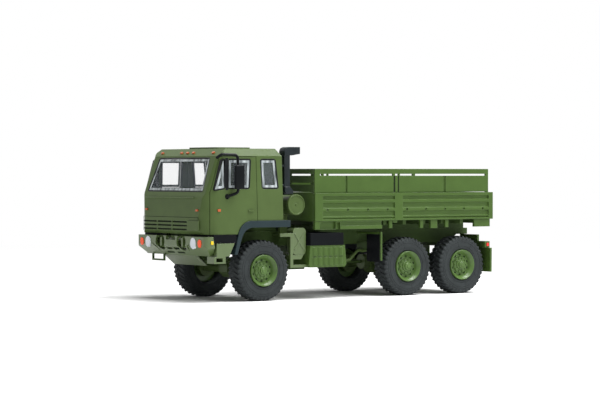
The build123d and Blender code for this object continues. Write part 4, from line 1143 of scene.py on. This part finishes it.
# --------------------------------------------------------------- flap stays
# Each front mudflap is held by a flat plastic stay, glued to its rear face
# and to the frame rail beside it.
rail_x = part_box("frame_rails")[1][0] / mm
flap_high = Vector(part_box("mudflaps")[1]) / mm
flap_inner_x = 10.6
stay_z = 13.4
stay_inset = 0.12
stay_overlap = 0.4
stay_thickness, stay_height = 0.2, 2.4
stay_bars = [
    (
        (side * (rail_x + flap_inner_x) / 2, flap_high.y - stay_inset, stay_z),
        (flap_inner_x - rail_x + stay_overlap, stay_thickness, stay_height),
        0,
    )
    for side in (1, -1)
]
flap_stays = bars("flap_stays", stay_bars, chassis_green)
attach(flap_stays, "chassis")

# ---------------------------------------------------------- air cleaner lid
# The air cleaner's round end has a raised rim, a shallow dome and a clamp bolt
# in its middle, all moulded with the drum.
drum_y, drum_z = -18.075, 24.82
drum_end_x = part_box("air_cleaner")[1][0] / mm
lid_facets = 48
lid_profile = (  # distance out from the drum's end, radius
    (0.22, 0.0),
    (0.20, 0.30),
    (0.02, 0.36),
    (0.10, 0.9),
    (0.06, 1.7),
    (-0.02, 2.15),
    (0.0, 2.28),
    (0.14, 2.36),
    (0.18, 2.48),
    (0.14, 2.62),
    (0.0, 2.72),
    (-0.5, 2.74),
    (-0.5, 0.0),
)
points, faces = turned(lid_profile, lid_facets)
points = [point + Vector((drum_end_x, drum_y, drum_z)) * mm for point in points]
drum_lid = outward(shape_object("drum_lid", points, faces, [cab_green], smooth_angle=32))
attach(drum_lid, "chassis")

# ---------------------------------------------------------------- cargo bed
# The ribbed sides, the seat racks and the planked floor are plastic mouldings
# glued into a tray and sprayed satin olive green. The planks run lengthwise
# between the bulkhead and the tailgate.
bed_green = satin_paint(
    "bed_green",
    (0.048, 0.091, 0.017),
    shade=0.10,
    roughness=0.32,
    edge_radius=0.22 * mm,
    gloss=0.2,
)
paint_nodes(
    bed_green,
    "side_boards",
    "bed_bulkhead",
    "tailgate",
    "seat_racks",
    "tail_beam",
    "flap_brackets",
    "rear_flaps",
    "side_skirts",
    "bed_brackets",
    "fuel_tank",
    "air_tanks",
)
# The head rack takes the darker chassis green: painted shade, as it stands in the shade behind the
# cab.
paint_nodes(chassis_green, "head_rack")
plank_green = satin_paint(
    "plank_green", (0.050, 0.092, 0.018), shade=0.18, roughness=0.45, gloss=0.15
)
tree = plank_green.node_tree
planks = tree.nodes.new("ShaderNodeTexWave")
planks.wave_type = "BANDS"
planks.bands_direction = "X"
planks.wave_profile = "SAW"
planks.inputs["Scale"].default_value = 70
joint_line = tree.nodes.new("ShaderNodeValToRGB")
joint_line.color_ramp.elements[0].position = 0.0
joint_line.color_ramp.elements[0].color = (0, 0, 0, 1)
joint_line.color_ramp.elements[1].position = 0.08
joint_line.color_ramp.elements[1].color = (1, 1, 1, 1)
plank_step = tree.nodes.new("ShaderNodeBump")
plank_step.inputs["Strength"].default_value = 0.8
plank_step.inputs["Distance"].default_value = 0.12 * mm
place = next(node for node in tree.nodes if node.type == "TEX_COORD")
last_bump = next(node for node in tree.nodes if node.type == "BUMP" and node is not plank_step)
wire(
    tree,
    (place.outputs["Object"], planks.inputs["Vector"]),
    (planks.outputs["Fac"], joint_line.inputs["Fac"]),
    (joint_line.outputs["Color"], plank_step.inputs["Height"]),
    (last_bump.outputs["Normal"], plank_step.inputs["Normal"]),
    (plank_step.outputs["Normal"], tree.nodes["Principled BSDF"].inputs["Normal"]),
)
paint_nodes(plank_green, "bed_floor")

# --------------------------------------------------------- rack shut lines
# Two upright lines of dark paint at the bed's middle post mark where the seat
# racks' panels meet. They lie in the outer face of each rack.
rack_side_x = (Vector(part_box("seat_racks")[1]) / mm).x
line_sink = 0.01
line_depth, line_height = 0.06, 4.3
line_z = 30.2
line_places = ((13.2, 0.55), (14.55, 0.4))  # place along the bed, width
shut_lines = [
    (
        (side * (rack_side_x - line_sink), line_y, line_z),
        (line_depth, line_width, line_height),
        0,
    )
    for side in (1, -1)
    for line_y, line_width in line_places
]
rack_lines = bars("rack_shut_lines", shut_lines, slot_dark)
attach(rack_lines, "chassis")

# -------------------------------------------------------------------- lamps
# The lamps are small plastic lenses glued to the bumper, the cab and the tail.
# Each is picked out with thick glossy paint: white for the headlamps, orange
# for the turn and marker lamps and red at the tail.


def lens_paint(name, colour):
    """Thick glossy paint over a raised lens."""
    material = satin_paint(
        name,
        colour,
        shade=0.12,
        roughness=0.18,
        edge_radius=0.12 * mm,
        grain=0.2,
        gloss=0.3,
    )
    material.node_tree.nodes["Principled BSDF"].inputs["Coat Weight"].default_value = 0.15
    return material


paint_nodes(lens_paint("lamp_white", (0.62, 0.65, 0.70)), "headlamps")
paint_nodes(lens_paint("lamp_orange", (0.88, 0.075, 0.006)), "turn_lamps")
paint_nodes(lens_paint("lamp_red", (0.60, 0.02, 0.02)), "tail_lamps")
marker_orange = lens_paint("marker_orange", (0.40, 0.085, 0.022))
paint_nodes(marker_orange, "marker_lamps")

# --------------------------------------------------------------- reflectors
# The side reflectors are raised plastic dots, glued on and painted like the
# lamps. Those on the bumper's ends are yellow, the small ones on the doors
# orange.
reflector_yellow = lens_paint("reflector_yellow", (0.72, 0.50, 0.01))
door_lamp_height = 20 * mm
shell = joined_copy("side_reflectors")
for face in shell.faces:
    face.material_index = 1 if face.calc_center_median().z > door_lamp_height else 0
reflectors = finished("painted_reflectors", shell, (reflector_yellow, marker_orange))
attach(reflectors, "chassis")
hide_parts("side_reflectors")
